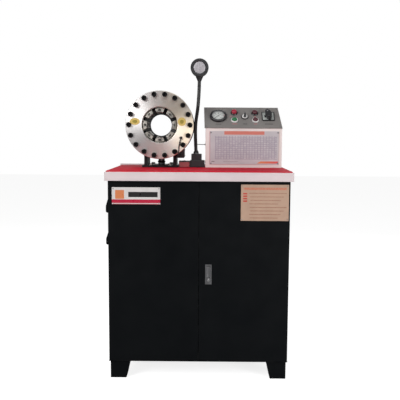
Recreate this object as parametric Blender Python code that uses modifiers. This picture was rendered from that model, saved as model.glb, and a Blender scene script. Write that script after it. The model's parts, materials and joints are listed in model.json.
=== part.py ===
"""Hydraulic hose crimping machine on a two-door power pack cabinet.

Metres, +Z up. The front faces -Y and +X is to the right of someone standing in front.
The origin is at floor level, under the middle of the worktop.
"""
import math

import bmesh
import bpy
from mathutils import Matrix, Vector

# ---------------------------------------------------------------- driving dimensions
GAP = 0.0003                  # between pieces that rest on or in each other

WORKTOP_WIDTH = 0.720
WORKTOP_DEPTH = 0.460
WORKTOP_TOP = 0.815
WORKTOP_PLATE = 0.006
WORKTOP_RIM = 0.034           # height of the folded rim
WORKTOP_SHEET = 0.0025
REAR_LIP = 0.010
MAT_THICKNESS = 0.004
MAT_MARGIN = 0.006

CABINET_WIDTH = 0.700
CABINET_BOTTOM = 0.071
CABINET_FRONT = -0.200
CABINET_BACK = 0.216
CABINET_SHEET = 0.0025
FRAME_RETURN = 0.022          # folded frame round the front and rear openings
SILL_FRONT = -0.2175          # front edge of the sill and the head rail

DOOR_FRONT = -0.218
DOOR_BACK = -0.2025
DOOR_SHEET = 0.0015
DOOR_BOTTOM = 0.075
DOOR_TOP = 0.7795
DOOR_EDGE = 0.3485            # outer edge of each door from the middle
DOOR_SPLIT = 0.001            # inner edge of each door from the middle
HINGE_X = 0.3425
HINGE_Y = -0.211
HINGE_RADIUS = 0.003
HINGE_CLEARANCE = 0.0003

FOOT_HEIGHT = CABINET_BOTTOM - GAP
FOOT_OUTER = 0.345
FOOT_BASE = 0.062
FOOT_CROWN = 0.078
FOOT_DEPTH = 0.050
FOOT_SHEET = 0.003
FOOT_FRONT = 0.208            # distance of the feet's outer faces from the middle

LOCK_X = 0.03785
LOCK_Z = 0.420
LOCK_WIDTH = 0.025
LOCK_HEIGHT = 0.078

HEAD_X = -0.1665              # axis of the crimping head, which runs along Y
HEAD_Z = 0.9958
FLANGE_RADIUS = 0.1405
FLANGE_THICKNESS = 0.030
FLANGE_BORE = 0.074
BOLT_COUNT = 18
BOLT_CIRCLE = 0.126
BOLT_HEAD_RADIUS = 0.0105
BOLT_HEAD_HEIGHT = 0.011
HEAD_STEPS = 48               # facets of the head's turned pieces, a multiple of 8
FLANGE_STEPS = 54
CYLINDER_RADIUS = 0.138
CYLINDER_BORE = 0.1285
CYLINDER_BACK = 0.190
REAR_RING_BACK = 0.212
PISTON_HUB = 0.0882
PISTON_BORE = 0.0742
PISTON_STROKE = 0.045
GUARD_RADIUS = 0.0735         # fixed sleeve inside the piston's hub
GUARD_HOLE = 0.0450
GUARD_FRONT = 0.1120
COLLAR_RADIUS = 0.104           # raised collar on the rear ring, which caps the hub
COLLAR_FACE = 0.2263
COLLAR_BACK = 0.2290
CONE_SLOPE = 0.4              # radial travel of a die for each unit of piston travel
DIE_COUNT = 8
DIE_TRAVEL = PISTON_STROKE * CONE_SLOPE
DIE_OPEN_RADIUS = 0.050
SHOE_FRONT = 0.034            # depths behind the flange's front face
SHOE_BACK = 0.110
SHOE_RADIUS = 0.112           # radius of the shoes' front edge when the dies are open

PEDESTAL_HALF_WIDTH = 0.076
PEDESTAL_PLATE = 0.008
CHEEK_OFFSET = 0.061
CHEEK_THICKNESS = 0.0135
FITTING_Y = 0.130

PANEL_TILT = math.radians(42)
PANEL_LENGTH = 0.131
PANEL_THICKNESS = 0.003
BOX_LEFT = 0.0235
BOX_RIGHT = 0.3440
BOX_FRONT = 0.040
BOX_BACK = 0.200
BOX_SHOULDER = 0.984          # height of the front edge, where the sloping panel begins
BOX_SHEET = 0.002
PANEL_TOP_RIGHT = 0.3340

GAUGE_PLACE = (0.0777, 0.070) # x and distance up the slope of each control
GAUGE_RADIUS = 0.0365
STOP_PLACE = (0.1450, 0.094)
START_PLACE = (0.1458, 0.048)
SELECTOR_PLACE = (0.1897, 0.068)
CRIMP_PLACE = (0.2332, 0.093)
OPEN_PLACE = (0.2340, 0.048)
ROTARY_PLACE = (0.2890, 0.071)
BEZEL_RADIUS = 0.0140
BUTTON_RADIUS = 0.0112
BUTTON_TRAVEL = 0.004
ROTARY_PLATE = 0.052

LAMP_Y = 0.075
NECK_RADIUS = 0.0075
NECK_ROUTE = ((-0.016, 0.8783), (-0.0178, 0.915), (-0.0190, 0.950), (-0.0190, 0.985),
              (-0.0165, 1.020), (-0.0120, 1.050), (-0.0086, 1.0752))
NECK_JOINTS = ((-0.0083, 1.0833), (-0.0050, 1.1340), (-0.0035, 1.1850))
LAMP_CENTRE = (-0.0030, 1.2350)
LAMP_RADIUS = 0.0375
LENS_RADIUS = 0.0245

MOTOR_Y = 0.030
MOTOR_Z = 0.185
MOTOR_RADIUS = 0.075
SHAFT_RADIUS = 0.012
TANK_TOP = 0.300

# ---------------------------------------------------------------- colours of the finishes
COLOURS = {
    "cabinet_black": ((0.008, 0.011, 0.014), 0.35, 0.3),
    "worktop_white": ((0.62, 0.58, 0.58), 0.35, 0.1),
    "mat_red": ((0.50, 0.02, 0.04), 0.60, 0.0),
    "turned_steel": ((0.55, 0.53, 0.50), 0.28, 1.0),
    "die_steel": ((0.38, 0.35, 0.31), 0.35, 1.0),
    "black_steel": ((0.02, 0.02, 0.022), 0.45, 0.6),
    "cream_sheet": ((0.75, 0.64, 0.62), 0.45, 0.0),
    "panel_grey": ((0.18, 0.17, 0.16), 0.45, 0.2),
    "chart_print": ((0.40, 0.36, 0.40), 0.40, 0.0),
    "name_print": ((0.60, 0.57, 0.56), 0.35, 0.0),
    "tan_print": ((0.52, 0.33, 0.23), 0.50, 0.0),
    "lock_metal": ((0.20, 0.20, 0.21), 0.40, 0.8),
    "black_plastic": ((0.015, 0.015, 0.017), 0.40, 0.0),
    "stop_red": ((0.45, 0.01, 0.03), 0.30, 0.0),
    "start_green": ((0.01, 0.20, 0.07), 0.30, 0.0),
    "dark_red": ((0.13, 0.01, 0.02), 0.30, 0.0),
    "lens_white": ((0.80, 0.80, 0.78), 0.20, 0.0),
    "needle_black": ((0.02, 0.02, 0.02), 0.50, 0.0),
    "motor_grey": ((0.12, 0.16, 0.20), 0.50, 0.3),
    "tank_grey": ((0.22, 0.23, 0.24), 0.50, 0.3),
    "hose_black": ((0.02, 0.02, 0.02), 0.65, 0.0),
}


# ---------------------------------------------------------------- scene, materials, cutters
def clear_scene():
    for item in list(bpy.data.objects):
        bpy.data.objects.remove(item, do_unlink=True)


def new_collection(name):
    group = bpy.data.collections.new(name)
    bpy.context.scene.collection.children.link(group)
    return group


clear_scene()
MACHINE = new_collection("hose_crimping_machine")
CUTTERS = new_collection("cutters")


def finish(name):
    """The material of that name, made the first time it is asked for."""
    found = bpy.data.materials.get(name)
    if found:
        return found
    colour, roughness, metallic = COLOURS[name]
    made = bpy.data.materials.new(name)
    made.use_nodes = True
    made.diffuse_color = (*colour, 1.0)
    shader = made.node_tree.nodes["Principled BSDF"]
    shader.inputs["Base Color"].default_value = (*colour, 1.0)
    shader.inputs["Roughness"].default_value = roughness
    shader.inputs["Metallic"].default_value = metallic
    return made


def add(name, mesh, look=None, frame=None, place=(0, 0, 0), turn=(0, 0, 0)):
    """Put a mesh in the machine as a named piece, or with no look as a cutter."""
    piece = bpy.data.objects.new(name, mesh)
    (MACHINE if look else CUTTERS).objects.link(piece)
    piece.parent = frame
    piece.location = place
    piece.rotation_euler = turn
    if look:
        mesh.materials.clear()
        mesh.materials.append(finish(look))
    else:
        piece.hide_render = True
        piece.display_type = "WIRE"
    return piece


def new_frame(name, place, turn):
    """An empty that carries pieces in a turned frame of their own."""
    frame = bpy.data.objects.new(name, None)
    MACHINE.objects.link(frame)
    frame.location = place
    frame.rotation_euler = turn
    bpy.context.view_layer.update()
    return frame


def combine(piece, other, operation):
    step = piece.modifiers.new(operation.lower() + "_" + other.name, "BOOLEAN")
    step.operation = operation
    step.solver = "EXACT"
    step.object = other


def cut(piece, *cutters):
    for cutter in cutters:
        combine(piece, cutter, "DIFFERENCE")


def join(piece, *others):
    for other in others:
        combine(piece, other, "UNION")


# ---------------------------------------------------------------- shapes
def box_mesh(name, low, high, bevel=0.0):
    """A box between two corners, with its edges chamfered if bevel is given."""
    shape = bmesh.new()
    bmesh.ops.create_cube(shape, size=1.0)
    size = [high[i] - low[i] for i in range(3)]
    middle = [(high[i] + low[i]) / 2 for i in range(3)]
    bmesh.ops.scale(shape, vec=size, verts=shape.verts)
    bmesh.ops.translate(shape, vec=middle, verts=shape.verts)
    if bevel:
        bmesh.ops.bevel(shape, geom=shape.edges[:], offset=bevel, segments=2, profile=0.5,
                        affect="EDGES")
    mesh = bpy.data.meshes.new(name)
    shape.to_mesh(mesh)
    shape.free()
    return mesh


def rod_mesh(name, radius, low, high, sides=24):
    """A cylinder along local Z from low to high."""
    shape = bmesh.new()
    bmesh.ops.create_cone(shape, cap_ends=True, segments=sides, radius1=radius, radius2=radius,
                          depth=high - low)
    bmesh.ops.translate(shape, vec=(0, 0, (low + high) / 2), verts=shape.verts)
    mesh = bpy.data.meshes.new(name)
    shape.to_mesh(mesh)
    shape.free()
    smooth(mesh)
    return mesh


def smooth(mesh):
    mesh.shade_smooth()
    mesh.set_sharp_from_angle(angle=math.radians(35))


def settled(piece):
    """The piece's mesh with its modifiers applied; the working object is removed."""
    bpy.context.view_layer.update()
    seen = piece.evaluated_get(bpy.context.evaluated_depsgraph_get())
    mesh = bpy.data.meshes.new_from_object(seen)
    shape = bmesh.new()
    shape.from_mesh(mesh)
    bmesh.ops.remove_doubles(shape, verts=shape.verts, dist=0.00001)
    shape.to_mesh(mesh)
    shape.free()
    bpy.data.objects.remove(piece, do_unlink=True)
    return mesh


def turned_mesh(name, profile, steps, ring=False):
    """A turned shape round local Z from (radius, height) points, outer side top to bottom."""
    shape = bmesh.new()
    points = [shape.verts.new((radius, 0, height)) for radius, height in profile]
    for first, second in zip(points, points[1:]):
        shape.edges.new((first, second))
    if ring:
        shape.edges.new((points[-1], points[0]))
    mesh = bpy.data.meshes.new(name)
    shape.to_mesh(mesh)
    shape.free()
    work = add(name + "_work", mesh)
    screw = work.modifiers.new("turn", "SCREW")
    screw.axis = "Z"
    screw.angle = math.tau
    screw.steps = steps
    screw.render_steps = steps
    screw.use_merge_vertices = True
    screw.merge_threshold = 0.00001
    screw.use_smooth_shade = True
    made = settled(work)
    smooth(made)
    return made


def outline_mesh(name, points, low, high):
    """A flat outline in local XY, filled and extruded from low to high along local Z."""
    curve = bpy.data.curves.new(name, "CURVE")
    curve.dimensions = "2D"
    curve.fill_mode = "BOTH"
    curve.extrude = (high - low) / 2
    spline = curve.splines.new("POLY")
    spline.points.add(len(points) - 1)
    for target, (x, y) in zip(spline.points, points):
        target.co = (x, y, 0, 1)
    spline.use_cyclic_u = True
    work = bpy.data.objects.new(name + "_work", curve)
    CUTTERS.objects.link(work)
    mesh = settled(work)
    mesh.transform(Matrix.Translation((0, 0, (low + high) / 2)))
    return mesh


def arc(centre, radius, start, end, count):
    """Points on an arc, angles in degrees, both ends included."""
    steps = [math.radians(start + (end - start) * i / count) for i in range(count + 1)]
    return [(centre[0] + radius * math.cos(a), centre[1] + radius * math.sin(a)) for a in steps]


def smooth_route(anchors, count):
    """Evenly counted points on a Catmull-Rom curve through the anchors."""
    points = [Vector(p) for p in anchors]
    points = [2 * points[0] - points[1]] + points + [2 * points[-1] - points[-2]]
    spans = len(points) - 3
    route = []
    for step in range(count + 1):
        along = spans * step / count
        span = min(int(along), spans - 1)
        t = along - span
        a, b, c, d = points[span:span + 4]
        route.append(0.5 * (2 * b + (c - a) * t + (2 * a - 5 * b + 4 * c - d) * t ** 2
                            + (3 * b - a - 3 * c + d) * t ** 3))
    return route


def tube(name, route, radius, look, resolution=2):
    """A round tube with filled caps along a list of points."""
    curve = bpy.data.curves.new(name, "CURVE")
    curve.dimensions = "3D"
    curve.bevel_depth = radius
    curve.bevel_resolution = resolution
    curve.use_fill_caps = True
    spline = curve.splines.new("POLY")
    spline.points.add(len(route) - 1)
    for target, point in zip(spline.points, route):
        target.co = (*point, 1)
    piece = bpy.data.objects.new(name, curve)
    MACHINE.objects.link(piece)
    curve.materials.append(finish(look))
    return piece


# Turns that stand a shape's local Z along a world axis.
ALONG_X = (0, math.radians(90), 0)
TOWARDS_FRONT = (math.radians(90), 0, 0)


# ---------------------------------------------------------------- cabinet
def vent_hood(name, top, bottom):
    """A pressed hood on the left wall: it grows outwards as it comes down, then turns in."""
    proud = WORKTOP_WIDTH / 2 - CABINET_WIDTH / 2 - 0.0002
    wall = -CABINET_WIDTH / 2
    points = [(wall + 0.001, top), (wall + 0.001, bottom), (wall - 0.4 * proud, bottom)]
    points += arc((wall - proud + 0.005, bottom + 0.006), 0.005, 250, 180, 3)
    points += [(wall - proud, bottom + 0.45 * (top - bottom)), (wall - 0.3 * proud, top - 0.008)]
    mesh = outline_mesh(name, points, -0.075, 0.075)
    return add(name, mesh, place=(0, -0.123, 0), turn=TOWARDS_FRONT)


def cabinet_body():
    half = CABINET_WIDTH / 2
    top = WORKTOP_TOP - WORKTOP_PLATE - GAP
    sheet = CABINET_SHEET
    body = add("cabinet_body", box_mesh("cabinet_body", (-half, CABINET_FRONT, CABINET_BOTTOM),
                                        (half, CABINET_BACK, top)), "cabinet_black")
    inside = box_mesh("cabinet_inside",
                      (-half + sheet, CABINET_FRONT + sheet, CABINET_BOTTOM + sheet),
                      (half - sheet, CABINET_BACK - sheet, top - sheet))
    opening_low = CABINET_BOTTOM + sheet + FRAME_RETURN
    opening_high = DOOR_TOP - FRAME_RETURN
    through = box_mesh("cabinet_openings", (-half + FRAME_RETURN, CABINET_FRONT - 0.01, opening_low),
                       (half - FRAME_RETURN, CABINET_BACK + 0.01, opening_high))
    crown = box_mesh("cabinet_crown", (-half + 0.028, CABINET_FRONT + 0.028, top - 0.01),
                     (half - 0.028, CABINET_BACK - 0.028, top + 0.01))
    rail = box_mesh("head_rail", (-half, SILL_FRONT, DOOR_TOP + 0.002),
                    (half, CABINET_FRONT + sheet / 2, top))
    sill = box_mesh("sill", (-half, SILL_FRONT, CABINET_BOTTOM),
                    (half, CABINET_FRONT + sheet / 2, CABINET_BOTTOM + sheet))
    cut(body, *[add(mesh.name, mesh) for mesh in (inside, through, crown)])
    join(body, add("head_rail", rail), add("sill", sill))
    join(body, vent_hood("upper_hood", 0.713, 0.655), vent_hood("lower_hood", 0.583, 0.530))


def rear_panel():
    low_y = CABINET_BACK + GAP
    panel = add("rear_panel", box_mesh("rear_panel", (-0.340, low_y, 0.083),
                                       (0.340, low_y + 0.002, 0.773)), "cabinet_black")
    slots = []
    for row in range(5):
        for side in (-1, 1):
            height = 0.56 + 0.030 * row
            low = (side * 0.17 - 0.070, low_y - 0.01, height)
            high = (side * 0.17 + 0.070, low_y + 0.01, height + 0.008)
            slots.append(add("vent_slot", box_mesh("vent_slot", low, high)))
    gland_place = (0.27, low_y, 0.16)
    gland = turned_mesh("cable_gland", [(0.0, 0.009), (0.009, 0.009), (0.012, 0.005),
                                        (0.012, -0.001), (0.0, -0.001)], 16)
    bore = rod_mesh("gland_bore", 0.0055, -0.02, 0.02, 16)
    outwards = (math.radians(-90), 0, 0)
    join(panel, add("cable_gland", gland, place=gland_place, turn=outwards))
    cut(panel, add("gland_bore", bore, place=gland_place, turn=outwards), *slots)


def hinge_rod(name, side):
    low = CABINET_BOTTOM + CABINET_SHEET + GAP
    mesh = rod_mesh(name, HINGE_RADIUS, low, DOOR_TOP + 0.002 - GAP, 16)
    add(name, mesh, "black_steel", place=(side * HINGE_X, HINGE_Y, 0))


def door(name, side):
    """A folded sheet pan, open at the back, that turns about its hinge rod."""
    edges = sorted((side * DOOR_EDGE - side * HINGE_X, side * DOOR_SPLIT - side * HINGE_X))
    low = (edges[0], DOOR_FRONT - HINGE_Y, DOOR_BOTTOM)
    high = (edges[1], DOOR_BACK - HINGE_Y, DOOR_TOP)
    hollow_low = [value + DOOR_SHEET for value in low]
    hollow_high = (high[0] - DOOR_SHEET, high[1] + 0.01, high[2] - DOOR_SHEET)
    axis = (side * HINGE_X, HINGE_Y, 0)
    panel = add(name, box_mesh(name, low, high), "cabinet_black", place=axis)
    hollow = add(name + "_hollow", box_mesh(name + "_hollow", hollow_low, hollow_high), place=axis)
    rod_hole = rod_mesh(name + "_rod_hole", HINGE_RADIUS + HINGE_CLEARANCE, 0.05, 0.80, 16)
    cut(panel, hollow, add(name + "_rod_hole", rod_hole, place=axis))
    return panel


def foot(name, side, end):
    """A folded bracket: a tapered face, two side walls, a crown and a floor pad."""
    outer = side * FOOT_OUTER
    shell = [(outer, 0), (outer, FOOT_HEIGHT), (outer - side * FOOT_CROWN, FOOT_HEIGHT),
             (outer - side * FOOT_BASE, 0)]
    wall = FOOT_SHEET
    inner = [(outer - side * wall, wall), (outer - side * wall, FOOT_HEIGHT - wall),
             (outer - side * (FOOT_CROWN - 1.1 * wall), FOOT_HEIGHT - wall),
             (outer - side * (FOOT_BASE - 1.1 * wall), wall)]
    near = -end * FOOT_FRONT
    far = -end * (FOOT_FRONT - FOOT_DEPTH)
    bracket = outline_mesh(name, shell, min(near, far), max(near, far))
    hollow_near = -end * (FOOT_FRONT - wall)
    hollow_far = -end * (FOOT_FRONT - FOOT_DEPTH - 0.01)
    hollow = outline_mesh(name + "_hollow", inner, min(hollow_near, hollow_far),
                          max(hollow_near, hollow_far))
    piece = add(name, bracket, "cabinet_black", turn=TOWARDS_FRONT)
    cut(piece, add(name + "_hollow", hollow, turn=TOWARDS_FRONT))


# ---------------------------------------------------------------- plates and lock
def front_plate(name, low, high, face, thickness, look):
    """A thin plate that stands just in front of a face at y = face."""
    back = face - GAP
    mesh = box_mesh(name, (low[0], back - thickness, low[1]), (high[0], back, high[1]))
    add(name, mesh, look)


def lock():
    """A flush lock with a lever that pops out, its push button and its cam behind the door."""
    half = LOCK_WIDTH / 2
    tall = LOCK_HEIGHT / 2
    skin = DOOR_FRONT - GAP
    housing = add("lock_housing", box_mesh("lock_housing",
                                           (LOCK_X - half, skin - 0.0022, LOCK_Z - tall),
                                           (LOCK_X + half, skin, LOCK_Z + tall)), "lock_metal")
    body = box_mesh("lock_body", (LOCK_X - 0.0095, skin - 0.001, LOCK_Z - 0.033),
                    (LOCK_X + 0.0095, DOOR_BACK - 0.003, LOCK_Z + 0.033))
    pocket = box_mesh("lever_pocket", (LOCK_X - 0.0085, skin - 0.01, LOCK_Z - 0.0125),
                      (LOCK_X + 0.0085, skin + 0.0035, LOCK_Z + 0.0335))
    button_z = LOCK_Z - 0.0225
    bore = add("lock_button_bore", rod_mesh("lock_button_bore", 0.0063, -0.012, 0.012, 20),
               place=(LOCK_X, skin - 0.0015, button_z), turn=TOWARDS_FRONT)
    join(housing, add("lock_body", body))
    cut(housing, add("lever_pocket", pocket), bore)

    pivot = (LOCK_X, skin + 0.0005, LOCK_Z + 0.0290)
    add("lock_lever", box_mesh("lock_lever", (-0.0080, -0.0040, -0.0405), (0.0080, 0.0015, 0.0010),
                               0.0008), "lock_metal", place=pivot)
    add("lock_button", rod_mesh("lock_button", 0.0060, -0.006, 0.0035, 20), "lock_metal",
        place=(LOCK_X, skin - 0.0022, button_z), turn=TOWARDS_FRONT)

    arm = arc((0, 0), 0.009, 0, 180, 8) + arc((0, -0.042), 0.008, 180, 360, 8)
    cam = add("lock_cam", outline_mesh("lock_cam", arm, -0.003, 0.0), "lock_metal",
              place=(LOCK_X, DOOR_BACK + 0.0035, LOCK_Z), turn=TOWARDS_FRONT)
    axle = add("cam_axle", rod_mesh("cam_axle", 0.005, -0.001, 0.0060, 16),
               place=(LOCK_X, DOOR_BACK + 0.0035, LOCK_Z), turn=TOWARDS_FRONT)
    join(cam, axle)


# ---------------------------------------------------------------- worktop
def post_holes(name, low, high):
    """Cutters for the hydraulic fitting and for the wiring under the control box."""
    fitting = rod_mesh(name + "_fitting_hole", 0.0105, low, high, 20)
    wiring = rod_mesh(name + "_wiring_hole", 0.016, low, high, 20)
    return (add(name + "_fitting_hole", fitting, place=(HEAD_X, FITTING_Y, 0)),
            add(name + "_wiring_hole", wiring, place=(0.185, 0.120, 0)))


def worktop():
    half_x = WORKTOP_WIDTH / 2
    half_y = WORKTOP_DEPTH / 2
    rim = WORKTOP_TOP - WORKTOP_RIM
    plate = add("worktop", box_mesh("worktop", (-half_x, -half_y, rim), (half_x, half_y, WORKTOP_TOP)),
                "worktop_white")
    under = box_mesh("worktop_underside",
                     (-half_x + WORKTOP_SHEET, -half_y + WORKTOP_SHEET, rim - 0.01),
                     (half_x - WORKTOP_SHEET, half_y - WORKTOP_SHEET, WORKTOP_TOP - WORKTOP_PLATE))
    lip = box_mesh("rear_lip", (-half_x, half_y - WORKTOP_SHEET, WORKTOP_TOP - 0.002),
                   (half_x, half_y, WORKTOP_TOP + REAR_LIP))
    cut(plate, add("worktop_underside", under))
    join(plate, add("rear_lip", lip))
    cut(plate, *post_holes("worktop", 0.79, 0.83))

    low = WORKTOP_TOP + GAP
    mat = add("rubber_mat", box_mesh("rubber_mat",
                                     (-half_x + MAT_MARGIN, -half_y + MAT_MARGIN / 2, low),
                                     (half_x - MAT_MARGIN, half_y - MAT_MARGIN, low + MAT_THICKNESS)),
              "mat_red")
    cut(mat, *post_holes("mat", 0.79, 0.83))


STAND_Z = WORKTOP_TOP + 2 * GAP + MAT_THICKNESS     # where things stand on the mat


# ---------------------------------------------------------------- crimping head
def head_frame():
    """Local Z points to the front, local Y up; the flange's front face is at local Z = 0."""
    return new_frame("head_frame", (HEAD_X, 0, HEAD_Z), TOWARDS_FRONT)


def shoe_radius(depth):
    """Radius of the shoes' conical backs, dies open, at a depth behind the front face."""
    return SHOE_RADIUS - CONE_SLOPE * (depth - SHOE_FRONT)


def front_flange(frame):
    profile = [(FLANGE_RADIUS - 0.002, 0), (FLANGE_RADIUS, -0.002),
               (FLANGE_RADIUS, -FLANGE_THICKNESS), (FLANGE_BORE, -FLANGE_THICKNESS),
               (FLANGE_BORE, -0.004), (FLANGE_BORE + 0.004, 0)]
    flange = add("front_flange", turned_mesh("front_flange", profile, FLANGE_STEPS, ring=True),
                 "turned_steel", frame)
    for index in range(BOLT_COUNT):
        angle = math.tau * (index + 0.5) / BOLT_COUNT
        place = (BOLT_CIRCLE * math.sin(angle), BOLT_CIRCLE * math.cos(angle), 0)
        bolt = rod_mesh("flange_bolt", BOLT_HEAD_RADIUS, -0.002, BOLT_HEAD_HEIGHT, 8)
        join(flange, add("flange_bolt", bolt, frame=frame, place=place))


def head_cylinder(frame):
    front = -FLANGE_THICKNESS - GAP
    profile = [(CYLINDER_RADIUS, front), (CYLINDER_RADIUS, -CYLINDER_BACK),
               (CYLINDER_BORE, -CYLINDER_BACK), (CYLINDER_BORE, front)]
    barrel = add("head_cylinder", turned_mesh("head_cylinder", profile, HEAD_STEPS, ring=True),
                 "black_steel", frame)
    port = rod_mesh("oil_port", 0.006, -0.15, -0.12, 12)
    cut(barrel, add("oil_port", port, place=(HEAD_X, FITTING_Y, HEAD_Z)))


def rear_ring(frame):
    """The ring behind the cylinder, with the guard sleeve that stands inside the piston's hub."""
    front = -CYLINDER_BACK - GAP
    hole = PISTON_HUB + GAP
    inside = GUARD_RADIUS - 0.002
    profile = [(FLANGE_RADIUS, front), (FLANGE_RADIUS, -REAR_RING_BACK + 0.002),
               (FLANGE_RADIUS - 0.002, -REAR_RING_BACK), (COLLAR_RADIUS, -REAR_RING_BACK),
               (COLLAR_RADIUS, -COLLAR_BACK), (inside, -COLLAR_BACK), (inside, -GUARD_FRONT - 0.003),
               (GUARD_HOLE, -GUARD_FRONT - 0.003), (GUARD_HOLE, -GUARD_FRONT), (GUARD_RADIUS, -GUARD_FRONT),
               (GUARD_RADIUS, -COLLAR_FACE), (hole, -COLLAR_FACE), (hole, front)]
    add("rear_ring", turned_mesh("rear_ring", profile, HEAD_STEPS, ring=True), "black_steel", frame)


def piston(frame):
    """The annular piston: a cone in its mouth closes the shoes, its hub runs in the rear ring."""
    clearance = 0.0006
    mouth = SHOE_FRONT + 0.002 + PISTON_STROKE
    cone_end = SHOE_FRONT + (SHOE_RADIUS + clearance - PISTON_BORE) / CONE_SLOPE
    skirt = CYLINDER_BORE - GAP
    profile = [(skirt, -mouth), (skirt, -0.140), (PISTON_HUB, -0.140), (PISTON_HUB, -0.226),
               (PISTON_BORE, -0.226), (PISTON_BORE, -cone_end),
               (shoe_radius(mouth) + clearance, -mouth)]
    add("piston", turned_mesh("piston", profile, HEAD_STEPS, ring=True), "die_steel", frame)


def die_mesh():
    """One die on its shoe, cut as a sector of a ring in the closed place, then moved out."""
    closed = DIE_OPEN_RADIUS - DIE_TRAVEL
    front, back = SHOE_FRONT, SHOE_BACK
    nose = 0.010
    profile = [(0.050, -nose), (0.050, -front), (SHOE_RADIUS - DIE_TRAVEL, -front),
               (shoe_radius(back) - DIE_TRAVEL, -back), (closed + 0.004, -back),
               (closed, -back + 0.006), (closed, -nose - 0.004), (closed + 0.003, -nose)]
    ring = add("die_ring", turned_mesh("die_ring", profile, HEAD_STEPS, ring=True))
    half_gap = 0.0004
    apex = half_gap / math.sin(math.pi / DIE_COUNT)
    reach = 0.16
    spread = (reach - apex) * math.tan(math.pi / DIE_COUNT)
    wedge = add("die_sector", outline_mesh("die_sector", [(0, apex), (spread, reach), (-spread, reach)],
                                           -0.2, 0.1))
    combine(ring, wedge, "INTERSECT")
    bpy.context.view_layer.update()
    mesh = settled(ring)
    mesh.transform(Matrix.Translation((0, DIE_TRAVEL, 0)))
    bpy.data.objects.remove(wedge, do_unlink=True)
    return mesh


def dies(frame):
    mesh = die_mesh()
    for index in range(DIE_COUNT):
        turn = (0, 0, -math.tau * index / DIE_COUNT)
        add("die_%d" % (index + 1), mesh, "die_steel", frame, turn=turn)


def pedestal():
    """A foot plate with two cheeks whose tops follow the cylinder."""
    half = PEDESTAL_HALF_WIDTH
    top = STAND_Z + PEDESTAL_PLATE
    plate = add("pedestal", box_mesh("pedestal", (HEAD_X - half, 0.040, STAND_Z),
                                     (HEAD_X + half, 0.200, top)), "black_steel")
    for side in (-1, 1):
        middle = HEAD_X + side * CHEEK_OFFSET
        cheek = box_mesh("cheek", (middle - CHEEK_THICKNESS / 2, 0.045, top - 0.002),
                         (middle + CHEEK_THICKNESS / 2, 0.185, 0.900))
        join(plate, add("cheek", cheek))
    envelope = add("cylinder_envelope", rod_mesh("cylinder_envelope", CYLINDER_RADIUS + GAP,
                                                 -0.3, 0.3, HEAD_STEPS),
                   place=(HEAD_X, 0, HEAD_Z), turn=TOWARDS_FRONT)
    hole = rod_mesh("pedestal_hole", 0.0105, 0.80, 0.84, 20)
    cut(plate, envelope, add("pedestal_hole", hole, place=(HEAD_X, FITTING_Y, 0)))
    return envelope


def limit_switch(envelope):
    """The switch box that hangs on the lower right of the cylinder, behind the flange."""
    box = add("limit_switch", box_mesh("limit_switch", (-0.0980, 0.036, 0.8590),
                                       (-0.0660, 0.092, 0.9060)), "black_plastic")
    cut(box, envelope)


def inlet_fitting():
    """The oil inlet: a spigot up to the port, a collar on the plate, a shank through it."""
    top = HEAD_Z - math.sqrt(CYLINDER_RADIUS ** 2 - 0.009 ** 2) - 0.0016
    plate = STAND_Z + PEDESTAL_PLATE + GAP
    profile = [(0, top), (0.009, top), (0.009, 0.8535), (0.0150, 0.8515), (0.0150, plate),
               (0.0100, plate), (0.0100, 0.795), (0, 0.795)]
    add("inlet_fitting", turned_mesh("inlet_fitting", profile, 20), "black_steel",
        place=(HEAD_X, FITTING_Y, 0))


# ---------------------------------------------------------------- control box
def panel_frame():
    """Local Y runs up the sloping panel and local Z points out of it."""
    return new_frame("panel_frame", (0, BOX_FRONT, BOX_SHOULDER), (PANEL_TILT, 0, 0))


def box_profile(shrink):
    """The control box's side view as (y, z), with its walls moved in by shrink."""
    run = PANEL_LENGTH * math.cos(PANEL_TILT)
    rise = PANEL_LENGTH * math.sin(PANEL_TILT)
    lift = shrink / math.cos(PANEL_TILT) - shrink * math.tan(PANEL_TILT)
    return [(BOX_FRONT + shrink, STAND_Z + shrink), (BOX_FRONT + shrink, BOX_SHOULDER - lift),
            (BOX_FRONT + run, BOX_SHOULDER + rise - shrink),
            (BOX_BACK - shrink, BOX_SHOULDER + rise - shrink), (BOX_BACK - shrink, STAND_Z + shrink)]


def box_solid(name, shrink):
    """The box's outer or inner form; its right side leans in above the shoulder."""
    mesh = outline_mesh(name, box_profile(shrink), BOX_LEFT + shrink, BOX_RIGHT - shrink)
    for vertex in mesh.vertices:
        if vertex.co.y > BOX_SHOULDER + 0.01 and vertex.co.z > BOX_RIGHT - 0.01:
            vertex.co.z = PANEL_TOP_RIGHT - shrink
    return mesh


def control_box(frame):
    """A folded sheet box whose sloping side is open and is closed by the panel."""
    turn = (math.radians(90), 0, math.radians(90))
    box = add("control_box", box_solid("control_box", 0.0), "cream_sheet", turn=turn)
    inside = box_solid("box_inside", BOX_SHEET)
    window = box_mesh("panel_window", (BOX_LEFT + 0.012, 0.010, -0.02),
                      (PANEL_TOP_RIGHT - 0.012, PANEL_LENGTH - 0.010, 0.02))
    wiring = rod_mesh("box_wiring_hole", 0.016, 0.80, 0.83, 20)
    cut(box, add("box_inside", inside, turn=turn), add("panel_window", window, frame=frame),
        add("box_wiring_hole", wiring, place=(0.185, 0.120, 0)))


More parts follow.
